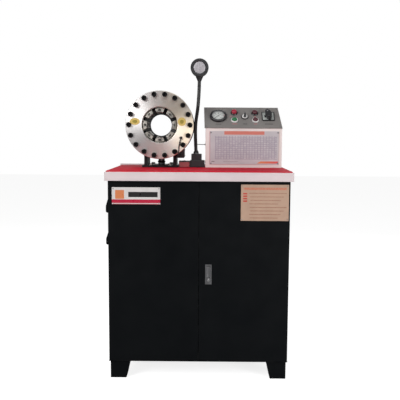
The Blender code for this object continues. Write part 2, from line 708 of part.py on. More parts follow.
def control_panel(frame):
    """The sloping plate, with the four push-button bezels and the rotary switch's plate."""
    low = GAP
    high = low + PANEL_THICKNESS
    left_low, left_top = BOX_LEFT - 0.004, BOX_LEFT - 0.007
    corners = [(left_low, -0.001), (BOX_RIGHT + 0.0012, -0.001),
               (PANEL_TOP_RIGHT, PANEL_LENGTH), (left_top, PANEL_LENGTH)]
    panel = add("control_panel", outline_mesh("control_panel", corners, low, high), "panel_grey", frame)
    for x, up in (STOP_PLACE, START_PLACE, CRIMP_PLACE, OPEN_PLACE):
        ring = rod_mesh("bezel", BEZEL_RADIUS, low + 0.001, high + 0.004, 20)
        join(panel, add("bezel", ring, frame=frame, place=(x, up, 0)))
        hole = rod_mesh("button_hole", BUTTON_RADIUS + 0.0003, -0.01, 0.03, 20)
        cut(panel, add("button_hole", hole, frame=frame, place=(x, up, 0)))
    half = ROTARY_PLATE / 2
    x, up = ROTARY_PLACE
    square = box_mesh("rotary_plate", (x - half, up - half, low + 0.001),
                      (x + half, up + half, high + 0.0025))
    join(panel, add("rotary_plate", square, frame=frame))
    for name, (x, up), radius in (("rotary_hole", ROTARY_PLACE, 0.0055),
                                  ("selector_hole", SELECTOR_PLACE, 0.0085),
                                  ("gauge_hole", GAUGE_PLACE, 0.0310)):
        hole = rod_mesh(name, radius, -0.01, 0.03, 32 if radius > 0.02 else 16)
        cut(panel, add(name, hole, frame=frame, place=(x, up, 0)))


def panel_top():
    return GAP + PANEL_THICKNESS


def gauge(frame):
    """The pressure gauge: a flanged case with a sunk dial, and its needle."""
    x, up = GAUGE_PLACE
    face = panel_top() + GAP
    profile = [(GAUGE_RADIUS - 0.0025, face + 0.010), (GAUGE_RADIUS, face + 0.0075),
               (GAUGE_RADIUS, face), (0.0305, face), (0.0305, -0.026), (0, -0.026)]
    dial = [(0, face + 0.0045), (0.0310, face + 0.0045), (0.0310, face + 0.010)]
    add("gauge_case", turned_mesh("gauge_case", dial + profile, 32), "black_plastic", frame,
        (x, up, 0))
    pointer = [(-0.0008, -0.009), (0.0008, -0.009), (0.0012, 0.0), (0.0002, 0.024), (-0.0002, 0.024),
               (-0.0012, 0.0)]
    needle = add("gauge_needle", outline_mesh("gauge_needle", pointer, face + 0.0060, face + 0.0070),
                 "needle_black", frame, (x, up, 0), (0, 0, math.radians(135)))
    hub = rod_mesh("needle_hub", 0.0028, face + 0.0048, face + 0.0074, 16)
    join(needle, add("needle_hub", hub, frame=frame, place=(x, up, 0)))


def push_button(name, look, place, frame, height):
    """A plunger in its bezel; it slides in along the panel's normal."""
    face = panel_top()
    profile = [(0, height), (BUTTON_RADIUS - 0.0015, height), (BUTTON_RADIUS, height - 0.0015),
               (BUTTON_RADIUS, face - 0.001), (0.006, face - 0.001), (0.006, -0.012), (0, -0.012)]
    add(name, turned_mesh(name, profile, 20), look, frame, (*place, 0))


def selector_knob(frame):
    """A short-lever selector on a round base."""
    face = panel_top() + GAP
    profile = [(0, face + 0.009), (0.0105, face + 0.009), (0.0125, face + 0.006), (0.0125, face),
               (0.0080, face), (0.0080, -0.010), (0, -0.010)]
    knob = add("selector_knob", turned_mesh("selector_knob", profile, 24), "black_plastic", frame,
               (*SELECTOR_PLACE, 0))
    lever = box_mesh("selector_lever", (-0.0035, -0.0105, face + 0.007), (0.0035, 0.0135, face + 0.020),
                     0.001)
    join(knob, add("selector_lever", lever, frame=frame, place=(*SELECTOR_PLACE, 0)))


def rotary_knob(frame):
    """The large oval handle of the rotary switch, on its spindle."""
    face = panel_top() + 0.0025 + GAP
    handle = arc((0, 0.013), 0.0125, 0, 180, 10) + arc((0, -0.013), 0.0125, 180, 360, 10)
    knob = add("rotary_knob", outline_mesh("rotary_knob", handle, face, face + 0.022), "black_plastic",
               frame, (*ROTARY_PLACE, 0))
    spindle = rod_mesh("rotary_spindle", 0.005, -0.012, face + 0.002, 16)
    join(knob, add("rotary_spindle", spindle, frame=frame, place=(*ROTARY_PLACE, 0)))


# ---------------------------------------------------------------- work lamp
def along(start, end):
    """The turn that stands local Z along the line from start to end."""
    return (Vector(end) - Vector(start)).to_track_quat("Z", "Y").to_euler()


def neck_point(pair):
    return (pair[0], LAMP_Y, pair[1])


def neck_link(name, start, end):
    """A stretch of the neck: a round seat at its lower joint and a flat top below the next."""
    length = (Vector(end) - Vector(start)).length - NECK_RADIUS - GAP
    seat = arc((0, 0), NECK_RADIUS, 0, -90, 4)[1:-1]
    profile = [(0, length), (NECK_RADIUS, length), (NECK_RADIUS, 0)] + seat + [(0, -NECK_RADIUS)]
    add(name, turned_mesh(name, profile, 14), "black_plastic", place=start, turn=along(start, end))


def lamp():
    base = add("lamp_base", box_mesh("lamp_base", (-0.0415, 0.045, STAND_Z), (0.0205, 0.105, 0.8490),
                                     0.002), "black_plastic")
    upper = box_mesh("lamp_switch_block", (-0.0360, 0.050, 0.8470), (0.0080, 0.100, 0.8760), 0.002)
    join(base, add("lamp_switch_block", upper))

    tube("neck_lower", smooth_route([neck_point(p) for p in NECK_ROUTE], 14), NECK_RADIUS,
         "black_plastic")
    joints = [neck_point(pair) for pair in NECK_JOINTS]
    neck_link("neck_middle", joints[0], joints[1])
    neck_link("neck_upper", joints[1], joints[2])

    centre = Vector(neck_point(LAMP_CENTRE)) - Vector(joints[2])
    bell = [(LENS_RADIUS + 0.0003, 0.015), (LENS_RADIUS + 0.0003, 0.020), (LAMP_RADIUS - 0.002, 0.022),
            (LAMP_RADIUS, 0.020), (LAMP_RADIUS, 0.008), (0.026, -0.020), (0.018, -0.026), (0, -0.026)]
    head = add("lamp_head", turned_mesh("lamp_head", [(0, 0.015)] + bell, 28), "black_plastic",
               place=neck_point(LAMP_CENTRE), turn=TOWARDS_FRONT)
    seat = arc((0, 0), NECK_RADIUS, 0, -90, 4)[1:-1]
    stem = [(0, centre.z - 0.020), (0.0105, centre.z - 0.020), (0.0105, 0.004), (NECK_RADIUS, 0)]
    socket = turned_mesh("lamp_socket", stem + seat + [(0, -NECK_RADIUS)], 12)
    join(head, add("lamp_socket", socket, place=joints[2]))
    add("lamp_lens", rod_mesh("lamp_lens", LENS_RADIUS, 0.0153, 0.0195, 32), "lens_white",
        place=neck_point(LAMP_CENTRE), turn=TOWARDS_FRONT)


def terminal_box():
    add("terminal_box", box_mesh("terminal_box", (-0.0880, 0.046, STAND_Z), (-0.0425, 0.104, 0.8460),
                                 0.001), "black_plastic")


# ---------------------------------------------------------------- power pack in the cabinet
def oil_tank():
    floor = CABINET_BOTTOM + CABINET_SHEET + GAP
    tank = add("oil_tank", box_mesh("oil_tank", (-0.335, -0.120, floor), (-0.035, 0.180, TANK_TOP)),
               "tank_grey")
    inside = box_mesh("tank_inside", (-0.332, -0.117, floor + 0.003), (-0.038, 0.177, TANK_TOP - 0.003))
    mouth = rod_mesh("filler_mouth", 0.0200, TANK_TOP - 0.01, TANK_TOP + 0.01, 24)
    cut(tank, add("tank_inside", inside), add("filler_mouth", mouth, place=(-0.270, -0.060, 0)))
    cap = [(0, 0.028), (0.024, 0.028), (0.027, 0.024), (0.027, GAP), (0.0194, GAP), (0.0194, -0.012),
           (0, -0.012)]
    add("filler_cap", turned_mesh("filler_cap", cap, 24), "black_plastic",
        place=(-0.270, -0.060, TANK_TOP))


def motor_and_pump():
    floor = CABINET_BOTTOM + CABINET_SHEET + GAP
    axis = (0, MOTOR_Y, MOTOR_Z)
    housing = add("motor_housing", rod_mesh("motor_housing", MOTOR_RADIUS, 0.050, 0.250, 32),
                  "motor_grey", place=axis, turn=ALONG_X)
    feet = box_mesh("motor_feet", (0.075, MOTOR_Y - 0.070, floor), (0.225, MOTOR_Y + 0.070, 0.130))
    bore = rod_mesh("shaft_bore", SHAFT_RADIUS + 0.0005, 0.0, 0.30, 20)
    join(housing, add("motor_feet", feet))
    cut(housing, add("shaft_bore", bore, place=axis, turn=ALONG_X))

    shaft = add("motor_shaft", rod_mesh("motor_shaft", SHAFT_RADIUS, 0.012, 0.276, 20), "die_steel",
                place=axis, turn=ALONG_X)
    fan = rod_mesh("fan", 0.058, 0.262, 0.272, 24)
    join(shaft, add("fan", fan, place=axis, turn=ALONG_X))

    wall = 0.002
    cup = [(MOTOR_RADIUS, 0.296), (MOTOR_RADIUS, 0.2503), (MOTOR_RADIUS - wall, 0.2503),
           (MOTOR_RADIUS - wall, 0.296 - wall), (0.012, 0.296 - wall), (0.012, 0.296)]
    add("fan_cover", turned_mesh("fan_cover", cup, 32, ring=True), "motor_grey", place=axis,
        turn=ALONG_X)

    pump = add("pump", box_mesh("pump", (-0.028, MOTOR_Y - 0.050, MOTOR_Z - 0.055),
                                (0.040, MOTOR_Y + 0.050, MOTOR_Z + 0.055), 0.004), "black_steel")
    neck = rod_mesh("pump_neck", 0.035, 0.035, 0.0497, 24)
    socket = rod_mesh("pump_socket", SHAFT_RADIUS + 0.0005, 0.008, 0.06, 20)
    join(pump, add("pump_neck", neck, place=axis, turn=ALONG_X))
    cut(pump, add("pump_socket", socket, place=axis, turn=ALONG_X))


def valve_and_hoses():
    block = add("valve_block", box_mesh("valve_block", (-0.215, 0.020, TANK_TOP + GAP),
                                        (-0.115, 0.100, 0.360)), "die_steel")
    solenoids = rod_mesh("solenoids", 0.018, -0.265, -0.065, 20)
    join(block, add("solenoids", solenoids, place=(0, 0.060, 0.330), turn=ALONG_X))
    up = [(HEAD_X, 0.070, 0.3612), (HEAD_X, 0.070, 0.42), (HEAD_X, 0.095, 0.55), (HEAD_X, 0.128, 0.68),
          (HEAD_X, FITTING_Y, 0.75), (HEAD_X, FITTING_Y, 0.7947)]
    tube("press_hose", smooth_route(up, 16), 0.010, "hose_black")
    over = [(0.005, MOTOR_Y, MOTOR_Z + 0.0562), (0.005, MOTOR_Y, 0.32), (-0.035, MOTOR_Y, 0.42),
            (-0.095, 0.036, 0.44), (-0.135, 0.042, 0.41), (-0.138, 0.045, 0.3612)]
    tube("pump_hose", smooth_route(over, 20), 0.008, "hose_black")


# ---------------------------------------------------------------- the whole machine
def build():
    cabinet_body()
    rear_panel()
    door("left_door", -1)
    right = door("right_door", 1)
    lock_cutout = box_mesh("lock_cutout", (LOCK_X - 0.0099, -0.23, LOCK_Z - 0.0334),
                           (LOCK_X + 0.0099, -0.21, LOCK_Z + 0.0334))
    cut(right, add("lock_cutout", lock_cutout))
    hinge_rod("left_hinge_rod", -1)
    hinge_rod("right_hinge_rod", 1)
    for side, side_name in ((-1, "left"), (1, "right")):
        foot("front_%s_foot" % side_name, side, -1)
        foot("rear_%s_foot" % side_name, side, 1)
    front_plate("name_plate", (-0.333, 0.691), (-0.148, 0.756), DOOR_FRONT, 0.001, "name_print")
    front_plate("instruction_plate", (0.160, 0.630), (0.343, 0.769), DOOR_FRONT, 0.001, "tan_print")
    lock()
    worktop()

    head = head_frame()
    front_flange(head)
    head_cylinder(head)
    rear_ring(head)
    piston(head)
    dies(head)
    limit_switch(pedestal())
    inlet_fitting()

    panel = panel_frame()
    control_box(panel)
    control_panel(panel)
    front_plate("crimp_chart", (0.041, 0.8318), (0.333, 0.9723), BOX_FRONT, 0.001, "chart_print")
    gauge(panel)
    push_button("stop_button", "stop_red", STOP_PLACE, panel, 0.0175)
    push_button("start_button", "start_green", START_PLACE, panel, 0.0115)
    push_button("crimp_button", "dark_red", CRIMP_PLACE, panel, 0.0150)
    push_button("open_button", "dark_red", OPEN_PLACE, panel, 0.0115)
    selector_knob(panel)
    rotary_knob(panel)

    lamp()
    terminal_box()
    oil_tank()
    motor_and_pump()
    valve_and_hoses()
    bpy.context.view_layer.update()


build()
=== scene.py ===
"""Looks of a hydraulic hose crimping machine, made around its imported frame.

Every size is in metres in the frame's own axes: +Z up, the front faces -Y, the origin at floor level
under the middle of the worktop. A finished piece sits at the origin with its place in its mesh.
"""
import json
import logging
import math
from dataclasses import dataclass, field
from enum import Enum
from functools import cache
from typing import Callable, Iterable, Sequence

import bpy
from mathutils import Matrix, Vector

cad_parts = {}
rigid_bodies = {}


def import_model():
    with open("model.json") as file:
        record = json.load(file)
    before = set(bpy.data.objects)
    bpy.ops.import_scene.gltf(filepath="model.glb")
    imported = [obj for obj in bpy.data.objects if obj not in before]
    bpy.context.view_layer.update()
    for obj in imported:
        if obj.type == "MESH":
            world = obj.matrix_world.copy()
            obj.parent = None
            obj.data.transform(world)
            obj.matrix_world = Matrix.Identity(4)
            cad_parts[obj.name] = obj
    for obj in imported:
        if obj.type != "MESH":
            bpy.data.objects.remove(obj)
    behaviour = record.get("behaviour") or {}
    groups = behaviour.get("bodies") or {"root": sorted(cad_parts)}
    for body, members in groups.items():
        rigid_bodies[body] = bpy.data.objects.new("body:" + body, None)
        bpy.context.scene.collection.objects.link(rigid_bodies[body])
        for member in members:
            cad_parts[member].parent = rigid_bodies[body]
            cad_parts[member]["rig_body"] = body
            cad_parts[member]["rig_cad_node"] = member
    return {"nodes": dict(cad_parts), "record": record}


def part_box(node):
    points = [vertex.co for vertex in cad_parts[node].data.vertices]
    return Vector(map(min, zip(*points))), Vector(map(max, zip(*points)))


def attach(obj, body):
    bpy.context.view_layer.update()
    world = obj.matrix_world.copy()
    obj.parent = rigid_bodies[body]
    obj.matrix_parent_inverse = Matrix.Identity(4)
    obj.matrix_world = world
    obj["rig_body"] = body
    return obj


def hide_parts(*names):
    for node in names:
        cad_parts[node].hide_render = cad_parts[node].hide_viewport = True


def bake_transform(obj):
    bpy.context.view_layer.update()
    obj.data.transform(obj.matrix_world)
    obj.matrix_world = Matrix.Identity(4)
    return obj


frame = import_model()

LOG = logging.getLogger("hose_crimper")
Point = Sequence[float]
Colour = tuple[float, float, float]
WELD = 0.000005


# ------------------------------------------------------------------------------ directions
class Facing(Enum):
    """The way a turned or flat shape's own +Z is stood."""

    UP = Matrix.Identity(4)
    DOWN = Matrix.Rotation(math.pi, 4, "X")
    FRONT = Matrix.Rotation(math.pi / 2, 4, "X")
    BACK = Matrix.Rotation(-math.pi / 2, 4, "X")
    RIGHT = Matrix.Rotation(math.pi / 2, 4, "Y")
    LEFT = Matrix.Rotation(-math.pi / 2, 4, "Y")


def middle(node: str) -> Vector:
    """The middle of a frame node's box."""
    low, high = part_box(node)
    return (low + high) / 2


def arc(centre: Point, radius: float, start: float, end: float, count: int) -> list[tuple[float, float]]:
    """Points on a flat arc.

    Args:
        centre: The arc's middle.
        radius: Its radius.
        start: The first angle in degrees.
        end: The last angle in degrees.
        count: How many steps there are between the two.

    Returns:
        count + 1 points, both ends included.
    """
    angles = [math.radians(start + (end - start) * i / count) for i in range(count + 1)]
    return [(centre[0] + radius * math.cos(a), centre[1] + radius * math.sin(a)) for a in angles]


def polygon(radius: float, sides: int) -> list[tuple[float, float]]:
    """The corners of a regular polygon round the origin."""
    return arc((0, 0), radius, 0, 360 * (sides - 1) / sides, sides - 1)


def ends(low: float, high: float, margin: float) -> tuple[float, float]:
    """The two places that lie a margin in from both ends."""
    return low + margin, high - margin


def rounded(width: float, height: float, radius: float, steps: int = 5) -> list[tuple[float, float]]:
    """A rectangle round the origin with round corners, as outline points."""
    x, y = width / 2 - radius, height / 2 - radius
    corners = ((x, y, 0), (-x, y, 90), (-x, -y, 180), (x, -y, 270))
    return [p for cx, cy, a in corners for p in arc((cx, cy), radius, a, a + 90, steps)]


def smooth_route(anchors: Sequence[Point], count: int) -> list[Vector]:
    """Points spread along one smooth curve through the anchors.

    Args:
        anchors: The places that the curve passes through.
        count: How many steps the curve is divided into.

    Returns:
        count + 1 points.
    """
    points = [Vector(p) for p in anchors]
    points = [2 * points[0] - points[1]] + points + [2 * points[-1] - points[-2]]
    spans = len(points) - 3
    route = []
    for step in range(count + 1):
        along = spans * step / count
        span = min(int(along), spans - 1)
        t = along - span
        a, b, c, d = points[span:span + 4]
        route.append(0.5 * (2 * b + (c - a) * t + (2 * a - 5 * b + 4 * c - d) * t ** 2
                            + (3 * b - a - 3 * c + d) * t ** 3))
    return route


# ------------------------------------------------------------------------------ the bench
class Workpiece:
    """A mesh on the bench: begun from a primitive, shaped by operators, then finished."""

    def __init__(self, name: str) -> None:
        """Takes the object that an operator has just made."""
        self.object = bpy.context.object
        self.object.name = name
        self.object.data.name = name

    # ---- beginnings
    @staticmethod
    def clear_bench() -> None:
        """Leaves nothing selected and Blender in object mode."""
        if bpy.context.object and bpy.context.object.mode != "OBJECT":
            bpy.ops.object.mode_set(mode="OBJECT")
        bpy.ops.object.select_all(action="DESELECT")

    @classmethod
    def block(cls, name: str, low: Point, high: Point) -> "Workpiece":
        """A block between two corners."""
        cls.clear_bench()
        size = Vector(high) - Vector(low)
        bpy.ops.mesh.primitive_cube_add(size=1, location=(Vector(high) + Vector(low)) / 2, scale=size)
        return cls(name).settle()

    @classmethod
    def rod(cls, name: str, radius: float, low: float, high: float, sides: int = 32) -> "Workpiece":
        """A cylinder along its own Z, from low to high."""
        cls.clear_bench()
        bpy.ops.mesh.primitive_cone_add(vertices=sides, radius1=radius, radius2=radius, depth=high - low,
                                        location=(0, 0, (low + high) / 2))
        return cls(name).settle()

    @classmethod
    def trace(cls, name: str, points: Sequence[Point], closed: bool) -> "Workpiece":
        """A chain of edges through points, grown from one vertex; leaves edit mode open, all selected."""
        cls.clear_bench()
        bpy.ops.mesh.primitive_plane_add(size=0.01)
        piece = cls(name)
        bpy.ops.object.mode_set(mode="EDIT")
        bpy.ops.mesh.select_mode(type="VERT")
        bpy.ops.mesh.select_all(action="SELECT")
        bpy.ops.mesh.merge(type="CENTER")
        bpy.ops.transform.translate(value=points[0])
        for here, there in zip(points, points[1:]):
            step = tuple(b - a for a, b in zip(here, there))
            bpy.ops.mesh.extrude_region_move(TRANSFORM_OT_translate={"value": step})
        if closed:
            bpy.ops.object.mode_set(mode="OBJECT")
            for vertex in piece.object.data.vertices:
                vertex.select = vertex.index in (0, len(points) - 1)
            bpy.ops.object.mode_set(mode="EDIT")
            bpy.ops.mesh.edge_face_add()
        bpy.ops.mesh.select_all(action="SELECT")
        return piece

    @classmethod
    def turned(cls, name: str, profile: Sequence[Point], steps: int = 64, ring: bool = False) -> "Workpiece":
        """A lathe shape round its own Z.

        Args:
            name: The piece's name.
            profile: (radius, height) points; a solid's profile begins and ends on the axis.
            steps: How many facets go round.
            ring: Whether the profile closes on itself.

        Returns:
            The workpiece.
        """
        piece = cls.trace(name, [(r, 0, h) for r, h in profile], ring)
        bpy.ops.mesh.spin(steps=steps, angle=math.tau, center=(0, 0, 0), axis=(0, 0, 1))
        return piece.weld()

    @classmethod
    def outline(cls, name: str, points: Sequence[Point], low: float, high: float) -> "Workpiece":
        """A flat outline in its own XY, made solid from low to high along its own Z."""
        piece = cls.trace(name, [(x, y, low) for x, y in points], True)
        bpy.ops.mesh.edge_face_add()
        bpy.ops.mesh.extrude_region_move(TRANSFORM_OT_translate={"value": (0, 0, high - low)})
        return piece.weld()

    @classmethod
    def from_node(cls, name: str, node: str) -> "Workpiece":
        """A merged copy of a frame node, its flat faces made whole, to be shaped further."""
        cls.clear_bench()
        source = frame["nodes"][node]
        source.select_set(True)
        bpy.context.view_layer.objects.active = source
        bpy.ops.object.duplicate()
        bpy.ops.object.parent_clear(type="CLEAR_KEEP_TRANSFORM")
        piece = cls(name)
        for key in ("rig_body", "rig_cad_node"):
            del piece.object[key]
        bpy.ops.object.mode_set(mode="EDIT")
        bpy.ops.mesh.select_all(action="SELECT")
        bpy.ops.mesh.remove_doubles(threshold=WELD)
        bpy.ops.mesh.dissolve_limited(angle_limit=math.radians(0.4))
        bpy.ops.object.mode_set(mode="OBJECT")
        return piece

    @classmethod
    def tube(cls, name: str, route: Sequence[Point], radius: float, resolution: int = 4,
             waist: float = 1.0) -> "Workpiece":
        """A round solid tube along a route, with every other point drawn in to its waist."""
        cls.clear_bench()
        bpy.ops.curve.primitive_bezier_curve_add()
        made = bpy.context.object
        curve = made.data
        curve.splines.clear()
        spline = curve.splines.new("POLY")
        spline.points.add(len(route) - 1)
        for index, point in enumerate(route):
            spline.points[index].co = (*point, 1)
            spline.points[index].radius = waist if index % 2 else 1.0
        curve.dimensions = "3D"
        curve.bevel_depth = radius
        curve.bevel_resolution = resolution
        curve.use_fill_caps = True
        bpy.ops.object.convert(target="MESH")
        return cls(name).weld()

    # ---- selection
    def unpicked(self) -> bpy.types.Mesh:
        """Holds the object and returns its mesh with nothing in it selected."""
        self.hold()
        mesh = self.object.data
        for part in (mesh.vertices, mesh.edges, mesh.polygons):
            part.foreach_set("select", [False] * len(part))
        return mesh

    def pick(self, test: Callable[[Vector, Vector], bool]) -> bool:
        """Selects the faces whose centre and normal pass a test and opens edit mode.

        Args:
            test: Called with each face's centre and normal.

        Returns:
            Whether any face was selected.
        """
        mesh = self.unpicked()
        chosen = [face for face in mesh.polygons if test(face.center, face.normal)]
        for face in chosen:
            face.select = True
        bpy.ops.object.mode_set(mode="EDIT")
        bpy.ops.mesh.select_mode(type="FACE")
        return bool(chosen)

    def pick_edges(self, test: Callable[[Vector, Vector], bool]) -> None:
        """Selects the edges whose two ends pass a test and opens edit mode."""
        mesh = self.unpicked()
        bpy.ops.object.mode_set(mode="EDIT")
        bpy.ops.mesh.select_mode(type="EDGE")
        bpy.ops.object.mode_set(mode="OBJECT")
        for edge in mesh.edges:
            first, second = (mesh.vertices[i].co for i in edge.vertices)
            edge.select = test(first, second)
        bpy.ops.object.mode_set(mode="EDIT")

    def hold(self) -> "Workpiece":
        """Makes this the one selected and active object."""
        self.clear_bench()
        self.object.select_set(True)
        bpy.context.view_layer.objects.active = self.object
        return self

    # ---- shaping
    def settle(self) -> "Workpiece":
        """Puts the object's place, turn and size into its mesh."""
        self.hold()
        bpy.ops.object.transform_apply(location=True, rotation=True, scale=True)
        return self

    def weld(self) -> "Workpiece":
        """Merges doubled points and turns the faces outwards."""
        self.hold()
        bpy.ops.object.mode_set(mode="EDIT")
        bpy.ops.mesh.select_all(action="SELECT")
        bpy.ops.mesh.remove_doubles(threshold=WELD)
        bpy.ops.mesh.normals_make_consistent(inside=False)
        bpy.ops.object.mode_set(mode="OBJECT")
        return self

    def stand(self, place: Point = (0, 0, 0), facing: Facing | Matrix = Facing.UP) -> "Workpiece":
        """Turns the shape's own +Z to a facing and moves it to a place."""
        turn = facing.value if isinstance(facing, Facing) else facing
        self.object.matrix_world = Matrix.Translation(place) @ turn @ self.object.matrix_world
        return self.settle()

    def press(self, test: Callable[[Vector, Vector], bool], inset: float, move: Point) -> "Workpiece":
        """Insets the faces that pass a test and extrudes them by a move."""
        if self.pick(test):
            bpy.ops.mesh.inset(thickness=inset, use_even_offset=True)
            bpy.ops.mesh.extrude_region_move(TRANSFORM_OT_translate={"value": move})
        bpy.ops.object.mode_set(mode="OBJECT")
        return self

    def soften(self, test: Callable[[Vector, Vector], bool], width: float, segments: int = 3) -> "Workpiece":
        """Rounds the edges whose two ends pass a test."""
        self.pick_edges(test)
        bpy.ops.mesh.bevel(offset=width, segments=segments, affect="EDGES", clamp_overlap=True)
        bpy.ops.object.mode_set(mode="OBJECT")
        return self

    def modify(self, kind: str, **settings: object) -> "Workpiece":
        """Adds a modifier with those settings and applies it."""
        self.hold()
        bpy.ops.object.modifier_add(type=kind)
        step = self.object.modifiers[-1]
        for key, value in settings.items():
            setattr(step, key, value)
        bpy.ops.object.modifier_apply(modifier=step.name)
        return self

    def bevel(self, width: float, segments: int = 3, angle: float = 35.0) -> "Workpiece":
        """Rounds every edge sharper than an angle."""
        return self.modify("BEVEL", width=width, segments=segments, limit_method="ANGLE",
                           angle_limit=math.radians(angle), use_clamp_overlap=True)

    def combine(self, other: "Workpiece", how: str) -> "Workpiece":
        """Cuts, joins or crosses this piece with another, which is used up."""
        self.modify("BOOLEAN", object=other.object, operation=how, solver="EXACT")
        other.scrap()
        return self

    def cut(self, *others: "Workpiece") -> "Workpiece":
        """Takes other pieces' shapes out of this one."""
        for other in others:
            self.combine(other, "DIFFERENCE")
        return self

    def join(self, *others: "Workpiece") -> "Workpiece":
        """Joins other pieces to this one as one solid."""
        for other in others:
            self.combine(other, "UNION")
        return self

    def gather(self, *others: "Workpiece") -> "Workpiece":
        """Takes other pieces into this object as separate solids that touch it."""
        self.hold()
        for other in others:
            other.object.select_set(True)
        bpy.ops.object.join()
        return self

    def copy(self, name: str) -> "Workpiece":
        """A copy with a mesh of its own."""
        self.hold()
        bpy.ops.object.duplicate()
        return Workpiece(name)

    def scrap(self) -> None:
        """Takes the piece off the bench."""
        bpy.data.objects.remove(self.object, do_unlink=True)

    # ---- finishing
    @classmethod
    def refine(cls, name: str, node: str, body: str, finish: "Finish", width: float,
               segments: int = 2) -> None:
        """Remakes a frame node with rounded edges and a finish."""
        cls.from_node(name, node).bevel(width, segments).done(body, finish, node)

    def done(self, body: str, finish: "Finish", *stands_for: str, smooth: float = 33.0) -> bpy.types.Object:
        """Smooths, dresses and mounts the piece.

        Args:
            body: The body that it rides on.
            finish: What its surface is.
            stands_for: The frame's nodes that it replaces.
            smooth: Edges sharper than this many degrees stay sharp.

        Returns:
            The finished object.
        """
        self.hold()
        bpy.ops.object.shade_smooth_by_angle(angle=math.radians(smooth))
        self.modify("WEIGHTED_NORMAL", keep_sharp=True)
        made = self.object
        made.data.materials.clear()
        made.data.materials.append(finish.material())
        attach(made, body)
        if stands_for:
            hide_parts(*stands_for)
        LOG.info("%s: %d faces on %s", made.name, len(made.data.polygons), body)
        return made


# ------------------------------------------------------------------------------ finishes
class Graph:
    """A material's nodes, put down and wired by short calls."""

    def __init__(self, name: str) -> None:
        """Begins a material with a bare Principled shader."""
        self.material = bpy.data.materials.new(name)
        self.material.use_nodes = True
        self.tree = self.material.node_tree
        self.shader = self.tree.nodes["Principled BSDF"]
        self.place = self.put("ShaderNodeTexCoord").outputs["Object"]

    def feed(self, socket: bpy.types.NodeSocket, value: object) -> None:
        """Gives a socket a link or a constant."""
        if isinstance(value, bpy.types.NodeSocket):
            self.tree.links.new(value, socket)
        else:
            socket.default_value = value

    def put(self, kind: str, settings: dict | None = None, **inputs: object) -> bpy.types.Node:
        """Adds a node; an input's name has _ for each space."""
        node = self.tree.nodes.new(kind)
        for key, value in (settings or {}).items():
            setattr(node, key, value)
        for key, value in inputs.items():
            self.feed(node.inputs[key.replace("_", " ")], value)
        return node

    def set(self, **inputs: object) -> None:
        """Feeds the shader's own sockets."""
        for key, value in inputs.items():
            self.feed(self.shader.inputs[key.replace("_", " ")], value)

    def maths(self, operation: str, *values: object) -> bpy.types.NodeSocket:
        """One arithmetic node's result."""
        node = self.put("ShaderNodeMath", {"operation": operation})
        for socket, value in zip(node.inputs, values):
            self.feed(socket, value)
        return node.outputs[0]

    def noise(self, scale: float, detail: float = 3.0, stretch: Point = (1, 1, 1),
              roughness: float = 0.5) -> bpy.types.NodeSocket:
        """Noise over the piece's own place; stretch multiplies each axis."""
        where = self.put("ShaderNodeMapping", Vector=self.place, Scale=stretch).outputs[0]
        return self.put("ShaderNodeTexNoise", Vector=where, Scale=scale, Detail=detail,
                        Roughness=roughness).outputs["Fac"]

    def span(self, value: object, low: float, high: float, start: float = 0.0,
             end: float = 1.0) -> bpy.types.NodeSocket:
        """Maps low..high to start..end, clamped."""
        node = self.put("ShaderNodeMapRange", {"clamp": True}, Value=value, From_Min=low, From_Max=high,
                        To_Min=start, To_Max=end)
        return node.outputs[0]

    def mix(self, share: object, first: object, second: object) -> bpy.types.NodeSocket:
        """A colour between two."""
        node = self.put("ShaderNodeMix", {"data_type": "RGBA"})
        for index, value in ((0, share), (6, first), (7, second)):
            if isinstance(value, tuple):
                value = (*value[:3], 1.0)
            self.feed(node.inputs[index], value)
        return node.outputs[2]

    def axes(self) -> tuple[bpy.types.NodeSocket, bpy.types.NodeSocket, bpy.types.NodeSocket]:
        """The place's x, y and z."""
        split = self.put("ShaderNodeSeparateXYZ", Vector=self.place)
        return split.outputs[0], split.outputs[1], split.outputs[2]

    def band(self, value: object, low: float, high: float) -> bpy.types.NodeSocket:
        """1 where a value lies between two limits, else 0."""
        above = self.maths("GREATER_THAN", value, low)
        below = self.maths("LESS_THAN", value, high)
        return self.maths("MULTIPLY", above, below)

    def bump(self, height: object, strength: float, distance: float) -> None:
        """Raises the surface by a height pattern, on top of any bump that is there."""
        normal = self.shader.inputs["Normal"]
        step = self.put("ShaderNodeBump", Height=height, Strength=strength, Distance=distance)
        if normal.is_linked:
            self.feed(step.inputs["Normal"], normal.links[0].from_socket)
        self.feed(normal, step.outputs[0])


@dataclass(frozen=True)
class Finish:
    """What a surface is made of: the base of every finish."""

    name: str
    slot: str
    colour: Colour
    roughness: float = 0.5

    @cache
    def material(self) -> bpy.types.Material:
        """The finish's material, made the first time it is asked for."""
        graph = Graph(f"{self.name}_finish")
        graph.set(Base_Color=(*self.colour, 1.0), Roughness=self.roughness)
        self.dress(graph)
        return graph.material

    def dress(self, graph: Graph) -> None:
        """Wires the finish's nodes; each kind has its own."""
        raise NotImplementedError

    def shade(self, share: float) -> Colour:
        """The finish's colour, dimmed to a share."""
        return tuple(share * c for c in self.colour)

    def pale(self, lift: float, keep: float) -> Colour:
        """The finish's colour, greyed as dust or wear greys it."""
        return tuple(min(1.0, lift + keep * c) for c in self.colour)

    def uneven(self, graph: Graph, scale: float, detail: float, below: float,
               above: float) -> bpy.types.NodeSocket:
        """The roughness, wandering in patches from a little below its value to a little above."""
        return graph.span(graph.noise(scale, detail), 0.3, 0.7, self.roughness - below,
                          self.roughness + above)

    def varied(self, graph: Graph, scale: float, amount: float) -> bpy.types.NodeSocket:
        """The colour, a little lighter and darker in soft patches."""
        patches = graph.span(graph.noise(scale, 4.0), 0.3, 0.7)
        darker = tuple(c * (1 - amount) for c in self.colour)
        lighter = tuple(min(1.0, c * (1 + amount)) for c in self.colour)
        return graph.mix(patches, darker, lighter)


